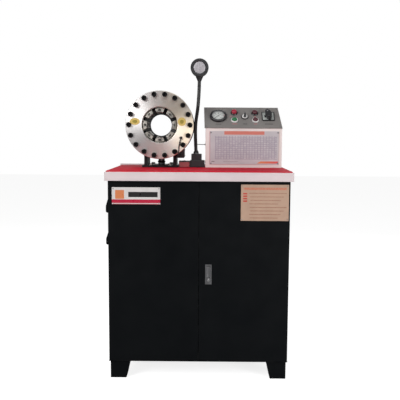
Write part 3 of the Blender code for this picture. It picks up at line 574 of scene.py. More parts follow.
@dataclass(frozen=True)
class Enamel(Finish):
    """Sprayed paint on sheet metal, with orange peel, dust and lightly rubbed edges."""

    peel: float = 0.12
    rub: float = 0.25
    gloss: float = 0.5
    dust: float = 0.04

    def dress(self, graph: Graph) -> None:
        """Wires the paint."""
        edge = graph.put("ShaderNodeBevel", {"samples": 4}, Radius=0.0022)
        face = graph.put("ShaderNodeNewGeometry").outputs["Normal"]
        aligned = graph.put("ShaderNodeVectorMath", {"operation": "DOT_PRODUCT"})
        graph.feed(aligned.inputs[0], edge.outputs[0])
        graph.feed(aligned.inputs[1], face)
        worn = graph.span(aligned.outputs["Value"], 0.985, 0.90)
        worn = graph.maths("MULTIPLY", worn, graph.span(graph.noise(35.0, 6.0), 0.42, 0.66, 0.0, self.rub))
        film = graph.span(graph.noise(6.0, 5.0), 0.35, 0.75, 0.0, self.dust)
        pale = self.pale(0.35, 0.6)
        base = graph.mix(film, self.varied(graph, 9.0, 0.06), pale)
        graph.set(Base_Color=graph.mix(worn, base, pale),
                  Roughness=self.uneven(graph, 14.0, 5.0, 0.05, 0.08), Specular_IOR_Level=self.gloss)
        graph.bump(graph.noise(650.0, 2.0), self.peel, 0.0004)


@dataclass(frozen=True)
class LatheSteel(Finish):
    """Bright steel turned on a lathe: fine grooves round an axis that runs front to back."""

    centre: Point = (0.0, 0.0, 0.0)
    # The straw colour of the painted warm light on the head's right side.
    warm_light_tint: Colour = (0.80, 0.68, 0.52)

    def dress(self, graph: Graph) -> None:
        """Wires the grooves, the sheen across them, and a straw tint painted over the head's right side in
        patches, which is painted warm light.
        """
        shifted = graph.put("ShaderNodeMapping", Vector=graph.place,
                            Location=tuple(-c for c in self.centre)).outputs[0]
        flat = graph.put("ShaderNodeVectorMath", {"operation": "MULTIPLY"})
        graph.feed(flat.inputs[0], shifted)
        graph.feed(flat.inputs[1], (1.0, 0.0, 1.0))
        length = graph.put("ShaderNodeVectorMath", {"operation": "LENGTH"})
        graph.feed(length.inputs[0], flat.outputs[0])
        radius = length.outputs["Value"]
        line = graph.put("ShaderNodeCombineXYZ", X=radius)
        fine = graph.put("ShaderNodeTexNoise", Vector=line.outputs[0], Scale=2600.0,
                         Detail=2.0).outputs["Fac"]
        broad = graph.put("ShaderNodeTexNoise", Vector=line.outputs[0], Scale=160.0,
                          Detail=3.0).outputs["Fac"]
        across = graph.put("ShaderNodeSeparateXYZ", Vector=shifted).outputs[0]
        # film is painted warm light: a straw tint over the side right of the head's axis, its strength varied
        # in patches.
        film = graph.maths("MULTIPLY", graph.span(graph.noise(11.0, 5.0), 0.30, 0.62, 0.25, 1.0),
                           graph.span(across, -0.06, 0.11))
        tone = graph.mix(graph.span(broad, 0.3, 0.7), self.colour, self.shade(0.86))
        tangent = graph.put("ShaderNodeTangent", {"direction_type": "RADIAL", "axis": "Y"})
        graph.set(Base_Color=graph.mix(film, tone, self.warm_light_tint), Metallic=1.0,
                  Roughness=graph.span(broad, 0.3, 0.7, self.roughness - 0.04, self.roughness + 0.05),
                  Anisotropic=0.70, Anisotropic_Rotation=0.25, Tangent=tangent.outputs[0])
        graph.bump(fine, 0.20, 0.0001)


@dataclass(frozen=True)
class MilledSteel(Finish):
    """Bare or blackened steel with cutter marks, scuffs and a little oil."""

    marks: Point = (1.0, 1.0, 12.0)
    metal: float = 1.0

    def dress(self, graph: Graph) -> None:
        """Wires the cutter marks and the oil film."""
        marks = graph.noise(300.0, 3.0, self.marks)
        oil = graph.span(graph.noise(40.0, 5.0), 0.45, 0.65)
        graph.set(Base_Color=graph.mix(oil, self.varied(graph, 25.0, 0.12), self.shade(0.55)),
                  Metallic=self.metal, Roughness=self.uneven(graph, 90.0, 4.0, 0.08, 0.10))
        graph.bump(marks, 0.25, 0.0003)


@dataclass(frozen=True)
class Moulded(Finish):
    """Moulded plastic, from fine-grained matt to glossy."""

    grain: float = 0.25
    coat: float = 0.0

    def dress(self, graph: Graph) -> None:
        """Wires the grain and the handling marks."""
        graph.set(Base_Color=self.varied(graph, 40.0, 0.10),
                  Roughness=self.uneven(graph, 60.0, 5.0, 0.05, 0.07),
                  Coat_Weight=self.coat, Coat_Roughness=0.12)
        graph.bump(graph.noise(1500.0, 2.0), self.grain, 0.0002)


@dataclass(frozen=True)
class Rubber(Finish):
    """Rubber: ribbed and dusty as a mat, smooth and wiped as a hose cover."""

    ribs: float = 0.0
    pitch: float = 0.003
    bloom: float = 0.16
    gloss: float = 0.5

    def dress(self, graph: Graph) -> None:
        """Wires the ribs, the bloom and the scuffs."""
        bloom = graph.span(graph.noise(22.0, 6.0), 0.45, 0.75, 0.0, self.bloom)
        graph.set(Base_Color=graph.mix(bloom, self.varied(graph, 5.0, 0.10), self.pale(0.12, 0.85)),
                  Roughness=self.uneven(graph, 30.0, 4.0, 0.06, 0.08), Specular_IOR_Level=self.gloss)
        if self.ribs:
            x = graph.axes()[0]
            wave = graph.maths("SINE", graph.maths("MULTIPLY", x, math.tau / self.pitch))
            graph.bump(wave, self.ribs, 0.0005)
        graph.bump(graph.noise(900.0, 3.0), 0.3, 0.0002)


@dataclass(frozen=True)
class Plated(Finish):
    """Chrome, zinc or brass plate: smooth metal with a cloudy bloom."""

    def dress(self, graph: Graph) -> None:
        """Wires the clouds."""
        cloud = graph.span(graph.noise(70.0, 5.0), 0.3, 0.75)
        graph.set(Base_Color=graph.mix(cloud, self.colour, self.shade(0.8)), Metallic=1.0,
                  Roughness=self.uneven(graph, 120.0, 4.0, 0.0, 0.10))
        graph.bump(graph.noise(500.0, 2.0), 0.06, 0.0002)


@dataclass(frozen=True)
class Glass(Finish):
    """A thin clear cover, or a thicker tinted one."""

    cover: float = 0.12

    def dress(self, graph: Graph) -> None:
        """Sets the clear film and its faint smears."""
        smear = graph.span(graph.noise(45.0, 4.0), 0.45, 0.8)
        graph.set(Base_Color=graph.mix(smear, self.colour, (0.9, 0.9, 0.9)), IOR=1.5, Alpha=self.cover,
                  Roughness=graph.maths("MULTIPLY_ADD", smear, 0.08, self.roughness))


@dataclass(frozen=True)
class Dial(Finish):
    """A round dial face: ticks and figures' places round a middle, in the panel's own slope."""

    centre: Point = (0.0, 0.0, 0.0)
    tilt: float = 0.0
    radius: float = 0.03
    ticks: int = 24

    def dress(self, graph: Graph) -> None:
        """Wires the ring of ticks and the coloured arc."""
        turned = graph.put("ShaderNodeVectorRotate", {"rotation_type": "X_AXIS"}, Vector=graph.place,
                           Center=self.centre, Angle=-self.tilt)
        split = graph.put("ShaderNodeSeparateXYZ", Vector=turned.outputs[0])
        x = graph.maths("SUBTRACT", split.outputs[0], self.centre[0])
        y = graph.maths("SUBTRACT", split.outputs[1], self.centre[1])
        angle = graph.maths("DIVIDE", graph.maths("ARCTAN2", x, y), math.tau)
        squares = graph.maths("ADD", graph.maths("POWER", x, 2.0), graph.maths("POWER", y, 2.0))
        reach = graph.maths("DIVIDE", graph.maths("POWER", squares, 0.5), self.radius)
        step = graph.maths("FRACT", graph.maths("MULTIPLY_ADD", angle, self.ticks, 0.5))
        tick = graph.maths("MULTIPLY", graph.band(step, 0.30, 0.70), graph.band(reach, 0.72, 0.92))
        rim = graph.band(reach, 0.90, 0.93)
        figure = graph.maths("FRACT", graph.maths("MULTIPLY_ADD", angle, self.ticks / 3, 0.5))
        marks = graph.maths("MULTIPLY", graph.band(figure, 0.34, 0.66), graph.band(reach, 0.46, 0.66))
        sweep = graph.maths("LESS_THAN", graph.maths("ABSOLUTE", angle), 0.39)
        ink = graph.maths("MULTIPLY", graph.maths("MAXIMUM", graph.maths("MAXIMUM", tick, rim), marks), sweep)
        zone = graph.maths("MULTIPLY", graph.band(angle, 0.20, 0.39), graph.band(reach, 0.94, 0.99))
        colour = graph.mix(zone, self.varied(graph, 40.0, 0.05), (0.55, 0.02, 0.02))
        graph.set(Base_Color=graph.mix(ink, colour, (0.02, 0.02, 0.025)),
                  Roughness=self.uneven(graph, 60.0, 4.0, 0.0, 0.1))


@dataclass(frozen=True)
class Lens(Finish):
    """A frosted lens moulded with a ring of small cells."""

    centre: Point = (0.0, 0.0, 0.0)
    pitch: float = 0.006

    def dress(self, graph: Graph) -> None:
        """Wires the cells and the milky colour."""
        flat = graph.put("ShaderNodeMapping", Vector=graph.place, Location=tuple(-c for c in self.centre),
                         Scale=(1.0, 0.0, 1.0)).outputs[0]
        cells = graph.put("ShaderNodeTexVoronoi", {"feature": "F1"}, Vector=flat, Scale=1 / self.pitch,
                          Randomness=0.25).outputs["Distance"]
        bright = graph.span(cells, 0.05, 0.6)
        graph.set(Base_Color=graph.mix(bright, self.colour, self.shade(0.62)),
                  Roughness=self.uneven(graph, 60.0, 3.0, 0.0, 0.12),
                  Coat_Weight=0.5, Coat_Roughness=0.08)
        graph.bump(cells, 0.5, 0.001)


@dataclass(frozen=True)
class Bar:
    """One printed bar between two (x, z) corners.

    A broken bar looks like a line of print, a fade is the colour at its right end, and a slant leans its
    ends over by that much x for each z.
    """

    low: Point
    high: Point
    colour: Colour
    broken: float = 0.0
    fade: Colour | None = None
    slant: float = 0.0


@dataclass(frozen=True)
class Printed(Finish):
    """A printed film: a ground colour, printed bars and, on a chart, a table of cells."""

    bars: tuple[Bar, ...] = ()
    table: tuple[float, ...] = ()
    ink: Colour = (0.05, 0.05, 0.07)

    def dress(self, graph: Graph) -> None:
        """Wires the ground, then the table, then each bar over it."""
        x, _, z = graph.axes()
        colour = self.varied(graph, 30.0, 0.05)
        if self.table:
            colour = self.cells(graph, colour, x, z)
        for bar in self.bars:
            lean = graph.maths("MULTIPLY_ADD", graph.maths("SUBTRACT", z, bar.low[1]), -bar.slant, x)
            along = graph.maths("MULTIPLY", graph.maths("GREATER_THAN", lean, bar.low[0]),
                                graph.maths("LESS_THAN", x, bar.high[0]))
            mask = graph.maths("MULTIPLY", along, graph.band(z, bar.low[1], bar.high[1]))
            if bar.broken:
                gaps = graph.noise(bar.broken, 0.0, (1.0, 0.0, 3.0))
                mask = graph.maths("MULTIPLY", mask, graph.maths("GREATER_THAN", gaps, 0.42))
            paint = bar.colour
            if bar.fade:
                paint = graph.mix(graph.span(x, bar.low[0], bar.high[0]), bar.colour, bar.fade)
            colour = graph.mix(mask, colour, paint)
        graph.set(Base_Color=colour, Roughness=self.uneven(graph, 50.0, 4.0, 0.05, 0.08))
        graph.bump(graph.noise(80.0, 3.0), 0.05, 0.0005)

    def cells(self, graph: Graph, ground: object, x: object, z: object) -> bpy.types.NodeSocket:
        """A ruled table with a short dash of ink in most of its cells.

        Args:
            graph: The material's graph.
            ground: The colour under the table.
            x: The place's x.
            z: The place's z.

        Returns:
            The colour with the table over it.
        """
        left, low, right, high, columns, rows = self.table
        across = graph.span(x, left, right, 0.0, columns)
        up = graph.span(z, low, high, 0.0, rows)
        inside = graph.maths("MULTIPLY", graph.band(x, left, right), graph.band(z, low, high))
        column, row = graph.maths("FRACT", across), graph.maths("FRACT", up)
        lines = graph.maths("MAXIMUM", graph.maths("LESS_THAN", column, 0.20),
                            graph.maths("LESS_THAN", row, 0.22))
        cell = graph.put("ShaderNodeCombineXYZ", X=graph.maths("FLOOR", across), Y=graph.maths("FLOOR", up))
        chance = graph.put("ShaderNodeTexWhiteNoise", Vector=cell.outputs[0]).outputs["Value"]
        dash = graph.maths("MULTIPLY", graph.band(column, 0.28, 0.85), graph.band(row, 0.35, 0.72))
        dash = graph.maths("MULTIPLY", dash, graph.span(chance, 0.15, 0.9, 0.0, 0.50))
        ruled = graph.mix(graph.maths("MULTIPLY", graph.maths("MULTIPLY", lines, inside),
                                      0.60), ground, self.ink)
        return graph.mix(graph.maths("MULTIPLY", dash, inside), ruled, self.ink)


HEAD_X, _, HEAD_Z = middle("head_cylinder")
PANEL_TILT = math.radians(42)
PANEL = Matrix.Translation((0.0, 0.040, 0.984)) @ Matrix.Rotation(PANEL_TILT, 4, "X")
GAUGE = (0.0777, 0.070)
LAMP = middle("lamp_lens")

CABINET_BLACK = Enamel("cabinet_black", "cabinet_black", (0.0024, 0.0031, 0.0039), 0.40, gloss=0.11, rub=0.05,
                       dust=0.004)
WORKTOP_WHITE = Enamel("worktop_white", "worktop_white", (0.625, 0.535, 0.545), 0.35, rub=0.0, dust=0.02)
MAT_RED = Rubber("mat_red", "mat_red", (0.56, 0.010, 0.030), 0.65, ribs=0.35, bloom=0.03, gloss=0.12)
FLANGE_STEEL = LatheSteel("flange_steel", "turned_steel", (0.87, 0.84, 0.83), 0.48,
                          centre=(HEAD_X, 0, HEAD_Z))
BLACK_STEEL = MilledSteel("black_steel", "black_steel", (0.018, 0.018, 0.020), 0.42, metal=0.6)
BOLT_STEEL = MilledSteel("bolt_steel", "black_steel", (0.022, 0.021, 0.022), 0.38, metal=0.8)
# Black steel drawn light grey: painted light on the guard face deep behind the dies, which lies in shade.
LIT_GUARD_STEEL = MilledSteel("lit_guard_steel", "black_steel", (0.11, 0.11, 0.115), 0.50, metal=0.3)
ZINC_STEEL = MilledSteel("zinc_steel", "die_steel", (0.42, 0.41, 0.38), 0.36)
DIE_STEEL = MilledSteel("die_steel", "die_steel", (0.66, 0.63, 0.57), 0.40)
INSERT_STEEL = MilledSteel("insert_steel", "die_steel", (0.36, 0.34, 0.32), 0.45)
CREAM_SHEET = Enamel("cream_sheet", "cream_sheet", (0.63, 0.56, 0.543), 0.42, rub=0.0, dust=0.02)
PANEL_GREY = Enamel("panel_grey", "panel_grey", (0.160, 0.148, 0.141), 0.40, rub=0.3, dust=0.06)
BLACK_PLASTIC = Moulded("black_plastic", "black_plastic", (0.014, 0.014, 0.016), 0.42)
GLOSS_BLACK = Moulded("gloss_black", "black_plastic", (0.012, 0.012, 0.014), 0.25, grain=0.05, coat=0.4)
# Pink on black plastic: a painted reflection of the red mat in the terminal box's glossy face.
MAT_REFLECTION_ROSE = Moulded("painted_mat_reflection", "black_plastic", (0.30, 0.075, 0.080), 0.30, grain=0.05, coat=0.4)
STOP_RED = Moulded("stop_red", "stop_red", (0.30, 0.008, 0.030), 0.28, grain=0.05, coat=0.5)
START_GREEN = Moulded("start_green", "start_green", (0.004, 0.13, 0.040), 0.28, grain=0.05, coat=0.5)
DARK_RED = Moulded("dark_red", "dark_red", (0.065, 0.007, 0.014), 0.28, grain=0.05, coat=0.5)
LABEL_RED = Moulded("label_red", "dark_red", (0.32, 0.13, 0.13), 0.5)
LABEL_GREY = Moulded("label_grey", "black_plastic", (0.075, 0.070, 0.068), 0.5)
NEEDLE_BLACK = Moulded("needle_black", "needle_black", (0.012, 0.012, 0.014), 0.35, grain=0.05)
LAMP_RING = Plated("lamp_ring", "black_plastic", (0.13, 0.13, 0.135), 0.28)
ROTARY_SILVER = Moulded("rotary_silver", "black_plastic", (0.33, 0.35, 0.335), 0.30, grain=0.1)
NECK_BLACK = Moulded("neck_black", "black_plastic", (0.011, 0.011, 0.011), 0.48, grain=0.1)
LOCK_ZINC = Plated("lock_zinc", "lock_metal", (0.25, 0.25, 0.26), 0.36)
# Pale ring colour: on the flush buttons' bezels a painted reflection of chrome; on the selector's base partly
# its light grey, partly a painted reflection.
PALE_RING_AND_GLINT = Moulded("pale_ring_and_glint", "lens_white", (0.60, 0.59, 0.58), 0.30, grain=0.05)
CHROME = Plated("chrome", "lock_metal", (0.78, 0.78, 0.79), 0.10)
BRASS = Plated("brass", "lock_metal", (0.60, 0.42, 0.16), 0.28)
GOLD = Plated("gold_disc", "turned_steel", (0.76, 0.57, 0.20), 0.50)
DARK_GOLD = Plated("dark_gold", "turned_steel", (0.46, 0.36, 0.09), 0.42)
CLEAR = Glass("clear_glass", "lens_white", (0.9, 0.9, 0.9), 0.04)
OIL_GLASS = Glass("oil_glass", "lens_white", (0.45, 0.22, 0.03), 0.06, cover=0.75)
GAUGE_DIAL = Dial("gauge_dial", "lens_white", (0.42, 0.44, 0.42), 0.35, tilt=PANEL_TILT, radius=0.0267,
                  centre=tuple(PANEL @ Vector((*GAUGE, 0.0081))))
LENS_WHITE = Lens("lens_white", "lens_white", (0.52, 0.50, 0.53), 0.35, centre=tuple(LAMP))
MOTOR_GREY = Enamel("motor_grey", "motor_grey", (0.10, 0.145, 0.19), 0.42)
TANK_GREY = Enamel("tank_grey", "tank_grey", (0.22, 0.23, 0.24), 0.40)
HOSE_BLACK = Rubber("hose_black", "hose_black", (0.020, 0.020, 0.021), 0.50)
NAME_PRINT = Printed("name_print", "name_print", (0.62, 0.585, 0.575), 0.30, bars=(
    Bar((-0.320, 0.7115), (-0.286, 0.7455), (0.60, 0.20, 0.08)),
    Bar((-0.270, 0.7185), (-0.158, 0.7385), (0.016, 0.015, 0.015)),
    Bar((-0.340, 0.6955), (-0.140, 0.7095), (0.435, 0.015, 0.045)),
    Bar((-0.330, 0.6910), (-0.150, 0.6930), (0.52, 0.15, 0.16))))
CHART_PRINT = Printed("chart_print", "chart_print", (0.430, 0.400, 0.420), 0.36, ink=(0.15, 0.12, 0.19),
                      table=(0.064, 0.8546, 0.324, 0.952, 22, 11), bars=(
    Bar((0.0410, 0.8318), (0.0432, 0.9723), (0.42, 0.20, 0.22)),
    Bar((0.3308, 0.8318), (0.3330, 0.9723), (0.50, 0.36, 0.33)),
    Bar((0.0410, 0.8318), (0.3330, 0.8336), (0.50, 0.30, 0.30)),
    Bar((0.1020, 0.9575), (0.2700, 0.9723), (0.500, 0.157, 0.122)),
    Bar((0.0490, 0.8440), (0.0620, 0.8465), (0.12, 0.09, 0.09)),
    Bar((0.0990, 0.8442), (0.1610, 0.8462), (0.26, 0.22, 0.23), broken=700.0),
    Bar((0.2386, 0.8375), (0.3290, 0.8465), (0.62, 0.22, 0.09), fade=(0.52, 0.055, 0.065), slant=1.8)))
MANUAL_LINES = tuple(Bar((0.192 + 0.002 * (row % 3), 0.7345 - 0.0135 * row),
                         (0.334 - 0.011 * (row * 5 % 4), 0.7375 - 0.0135 * row), (0.27, 0.115, 0.070),
                         broken=450.0) for row in range(8))
MANUAL_MARKS = tuple(Bar((0.1685, 0.7315 - 0.0095 * row), (0.1840, 0.7370 - 0.0095 * row),
                         (0.45, 0.045, 0.030)) for row in range(4))
MANUAL_PRINT = Printed("manual_print", "tan_print", (0.425, 0.277, 0.200), 0.42, bars=(
    Bar((0.170, 0.7490), (0.3340, 0.7580), (0.50, 0.150, 0.085), broken=300.0),
    *MANUAL_MARKS, *MANUAL_LINES))

BY_SLOT = {"cabinet_black": CABINET_BLACK, "worktop_white": WORKTOP_WHITE, "mat_red": MAT_RED,
           "turned_steel": FLANGE_STEEL, "die_steel": ZINC_STEEL, "black_steel": BLACK_STEEL,
           "cream_sheet": CREAM_SHEET, "panel_grey": PANEL_GREY, "chart_print": CHART_PRINT,
           "name_print": NAME_PRINT, "tan_print": MANUAL_PRINT, "lock_metal": LOCK_ZINC,
           "black_plastic": BLACK_PLASTIC, "stop_red": STOP_RED, "start_green": START_GREEN,
           "dark_red": DARK_RED, "lens_white": LENS_WHITE, "needle_black": NEEDLE_BLACK,
           "motor_grey": MOTOR_GREY, "tank_grey": TANK_GREY, "hose_black": HOSE_BLACK}


# ------------------------------------------------------------------------------ fasteners
class Screw(Enum):
    """The kinds of screw, each with the look of its head."""

    SOCKET = "socket"
    HEX = "hex"
    PAN = "pan"


class Fasteners:
    """Screws and bolts: each kind modelled once and copied to its places."""

    @staticmethod
    def head(kind: Screw, radius: float, height: float) -> Workpiece:
        """One screw head, standing on the ground with its top up.

        Args:
            kind: Which head it is.
            radius: Half the width of the head.
            height: How tall the head is.

        Returns:
            The head.
        """
        chamfer = 0.12 * radius
        if kind is Screw.HEX:
            piece = Workpiece.outline("hex_head", polygon(radius, 6), 0, height)
            crown = Workpiece.turned("crown", [
                (0, -0.001), (1.3 * radius, -0.001), (1.3 * radius, height - 0.28 * radius),
                (0.84 * radius, height), (0, height)], 24)
            return piece.combine(crown, "INTERSECT").join(
                Workpiece.turned("washer", [(0, -0.0004), (1.15 * radius, -0.0004), (1.15 * radius, 0.0009),
                                            (0, 0.0009)], 24))
        if kind is Screw.PAN:
            piece = Workpiece.turned("pan_head", [
                (0, -0.0004), (radius, -0.0004), (radius, 0.2 * height), (0.9 * radius, 0.72 * height),
                (0.6 * radius, 0.95 * height), (0, height)], 20)
            for turn in (0, 90):
                slot = Workpiece.block("slot", (-0.55 * radius, -0.10 * radius, 0.45 * height),
                                       (0.55 * radius, 0.10 * radius, 2 * height))
                piece.cut(slot.stand(facing=Matrix.Rotation(math.radians(turn), 4, "Z")))
            return piece
        profile = [
            (0, -0.0004), (radius, -0.0004), (radius, height - chamfer),
            (radius - chamfer, height), (0, height)]
        piece = Workpiece.turned("socket_head", profile, 32)
        socket = Workpiece.outline("socket", polygon(0.60 * radius, 6), 0.35 * height, 1.2 * height)
        return piece.cut(socket)

    @staticmethod
    def spread(stem: str, master: Workpiece, places: Iterable[Point], facing: Facing | Matrix, body: str,
               finish: Finish) -> None:
        """Copies a master to its places and removes the master.

        Args:
            stem: The start of the copies' names.
            master: The piece that is copied.
            places: Where the copies stand.
            facing: Which way their tops face.
            body: The body that they ride on.
            finish: What they are made of.
        """
        for number, place in enumerate(places, 1):
            master.copy(f"{stem}_{number}").stand(place, facing).done(body, finish)
        master.scrap()


# ------------------------------------------------------------------------------ the cabinet
@dataclass
class Cabinet:
    """The folded sheet cabinet with its doors, rear cover, feet and worktop."""

    fold: float = 0.0006
    channel: tuple[float, float] = (0.030, 0.008)
    channel_x: float = 0.200
    knuckle: tuple[float, float] = (0.0052, 0.052)
    play: float = 0.0004
    rear_face: float = 0.2183
    rear_margin: float = 0.012
    gland: tuple[float, float] = (0.27, 0.16)

    def build(self) -> None:
        """Builds every piece of the cabinet."""
        Workpiece.refine("cabinet_shell", "cabinet_body", "root", CABINET_BLACK, self.fold)
        for side, sign in (("left", -1), ("right", 1)):
            self.door(side, sign)
            for end in ("front", "rear"):
                Workpiece.refine(f"{end}_{side}_folded_foot", f"{end}_{side}_foot", "root",
                                 CABINET_BLACK, 0.0009)
        self.rear_cover()
        self.worktop()

    def door(self, side: str, sign: int) -> None:
        """One door with its stiffening channel, hinge knuckles and rod.

        Args:
            side: left or right.
            sign: -1 on the left, 1 on the right.
        """
        body = f"{side}_door"
        low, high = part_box(body)
        Workpiece.refine(f"{body}_pan", body, body, CABINET_BLACK, self.fold)
        half, deep = self.channel
        x, inner = sign * self.channel_x, low.y + 0.0015
        channel = Workpiece.block(f"{body}_channel", (x - half, inner - 0.0003, low.z + 0.030),
                                  (x + half, inner + deep, high.z - 0.030))
        channel.soften(lambda a, b: abs(a.z - b.z) > 0.1 and min(a.y, b.y) > inner, 0.004, 4)
        channel.press(lambda c, n: n.y > 0.9, 0.012, (0, -0.0035, 0)).done(body, CABINET_BLACK)
        rod_low, rod_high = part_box(f"{side}_hinge_rod")
        place = (rod_low + rod_high) / 2
        radius = (rod_high.x - rod_low.x) / 2
        tall = rod_high.z - rod_low.z
        Workpiece.turned(f"{side}_hinge_pin", [
            (0, -tall / 2), (radius - 0.0006, -tall / 2), (radius, 0.0006 - tall / 2),
            (radius, tall / 2 - 0.0006), (radius - 0.0006, tall / 2), (0, tall / 2)],
                         24).stand(place).done("root", ZINC_STEEL, f"{side}_hinge_rod")
        outer, length = self.knuckle
        hole = radius + self.play
        for end, z in (("lower", low.z + 0.070), ("upper", high.z - 0.070)):
            ring = [(hole, -length / 2), (outer, -length / 2), (outer, length / 2), (hole, length / 2)]
            leaf = Workpiece.block("leaf", (min(0, -sign * 0.024), -0.0058, -length / 2),
                                   (max(0, -sign * 0.024), -0.0040, length / 2))
            knuckle = Workpiece.turned(f"{side}_{end}_knuckle", ring, 28, ring=True).join(leaf)
            bore = Workpiece.rod("bore", hole, -length, length, 28)
            knuckle.cut(bore).bevel(0.0004, 2).stand((place.x, place.y, z)).done(body, CABINET_BLACK)

    def rear_cover(self) -> None:
        """The slotted rear cover with its screws and cable gland nut."""
        low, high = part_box("rear_panel")
        Workpiece.refine("rear_cover", "rear_panel", "root", CABINET_BLACK, 0.0004)
        xs = (low.x + self.rear_margin, 0.0, high.x - self.rear_margin)
        zs = (low.z + self.rear_margin, (low.z + high.z) / 2, high.z - self.rear_margin)
        places = [(x, self.rear_face, z) for x in xs for z in zs if (x, z) != (xs[1], zs[1])]
        Fasteners.spread("rear_cover_screw", Fasteners.head(Screw.PAN, 0.0055, 0.0028), places,
                         Facing.BACK, "root", ZINC_STEEL)
        nut = Workpiece.outline("gland_nut", polygon(0.0152, 6), 0.0008, 0.0062)
        nut.cut(Workpiece.rod("hole", 0.0118, -0.01, 0.03, 32)).bevel(0.0005, 2)
        nut.stand((self.gland[0], self.rear_face, self.gland[1]), Facing.BACK).done("root", BLACK_PLASTIC)

    def worktop(self) -> None:
        """The painted tray, its ribbed rubber mat and the screws under its rim."""
        Workpiece.refine("worktop_tray", "worktop", "root", WORKTOP_WHITE, 0.0012, 3)
        Workpiece.refine("ribbed_mat", "rubber_mat", "root", MAT_RED, 0.0010, 3)
        low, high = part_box("worktop")
        places = [(side, y, low.z + 0.016) for side in (low.x, high.x) for y in (-0.15, 0.15)]
        master = Fasteners.head(Screw.PAN, 0.0050, 0.0022)
        for number, place in enumerate(places, 1):
            facing = Facing.LEFT if place[0] < 0 else Facing.RIGHT
            master.copy(f"worktop_screw_{number}").stand(place, facing).done("root", ZINC_STEEL)
        master.scrap()


@dataclass
class Plates:
    """The printed plates on the doors and their rivets."""

    rivet: float = 0.0022

    def build(self) -> None:
        """Builds the name plate and the instruction plate."""
        for node, body, finish in (("name_plate", "left_door", NAME_PRINT),
                                   ("instruction_plate", "right_door", MANUAL_PRINT)):
            Workpiece.refine(f"{node}_print", node, body, finish, 0.0003)
            low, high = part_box(node)
            corners = [(x, low.y, z) for x in ends(low.x, high.x, 0.005) for z in ends(low.z, high.z, 0.005)]
            rivet = Workpiece.turned("rivet", [
                (0, -0.0003), (self.rivet, -0.0003), (0.85 * self.rivet, 0.0005),
                (0.4 * self.rivet, 0.0009), (0, 0.0010)], 16)
            Fasteners.spread(f"{node}_rivet", rivet, corners, Facing.FRONT, body, LOCK_ZINC)


@dataclass
class DoorLock:
    """The swing-handle lock on the right door, with its cam behind."""

    height: float = 0.420

    def build(self) -> None:
        """Builds the housing, lever, button and cam."""
        Workpiece.refine("lock_case", "lock_housing", "right_door", LOCK_ZINC, 0.0008, 3)
        low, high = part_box("lock_lever")
        lever = Workpiece.from_node("lock_swing_lever", "lock_lever").bevel(0.0011, 3)
        lever.press(lambda c, n: n.y < -0.95 and (low.z + high.z) / 2 > c.z - 0.02, 0.0022, (0, 0.0009, 0))
        lever.done("lock_lever", LOCK_ZINC, "lock_lever")
        low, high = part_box("lock_button")
        centre, reach = (low + high) / 2, high.y - low.y
        r = (high.x - low.x) / 2
        button = Workpiece.turned("lock_push_button", [
            (0, 0), (r, 0), (r, reach - 0.0010), (r - 0.0010, reach), (0.55 * r, reach),
            (0.45 * r, reach - 0.0008), (0, reach - 0.0008)], 32)
        key = Workpiece.block("key", (-0.0004, -0.0018, reach - 0.003), (0.0004, 0.0018, reach + 0.001))
        button.cut(key).stand((centre.x, high.y, centre.z), Facing.FRONT)
        button.done("lock_button", CHROME, "lock_button")
        Workpiece.refine("lock_tongue", "lock_cam", "lock_cam", ZINC_STEEL, 0.0006)
        low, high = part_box("lock_cam")
        Fasteners.spread("lock_tongue_nut", Fasteners.head(Screw.HEX, 0.0065, 0.0040),
                         [((low.x + high.x) / 2, high.y, self.height)], Facing.BACK, "lock_cam", ZINC_STEEL)


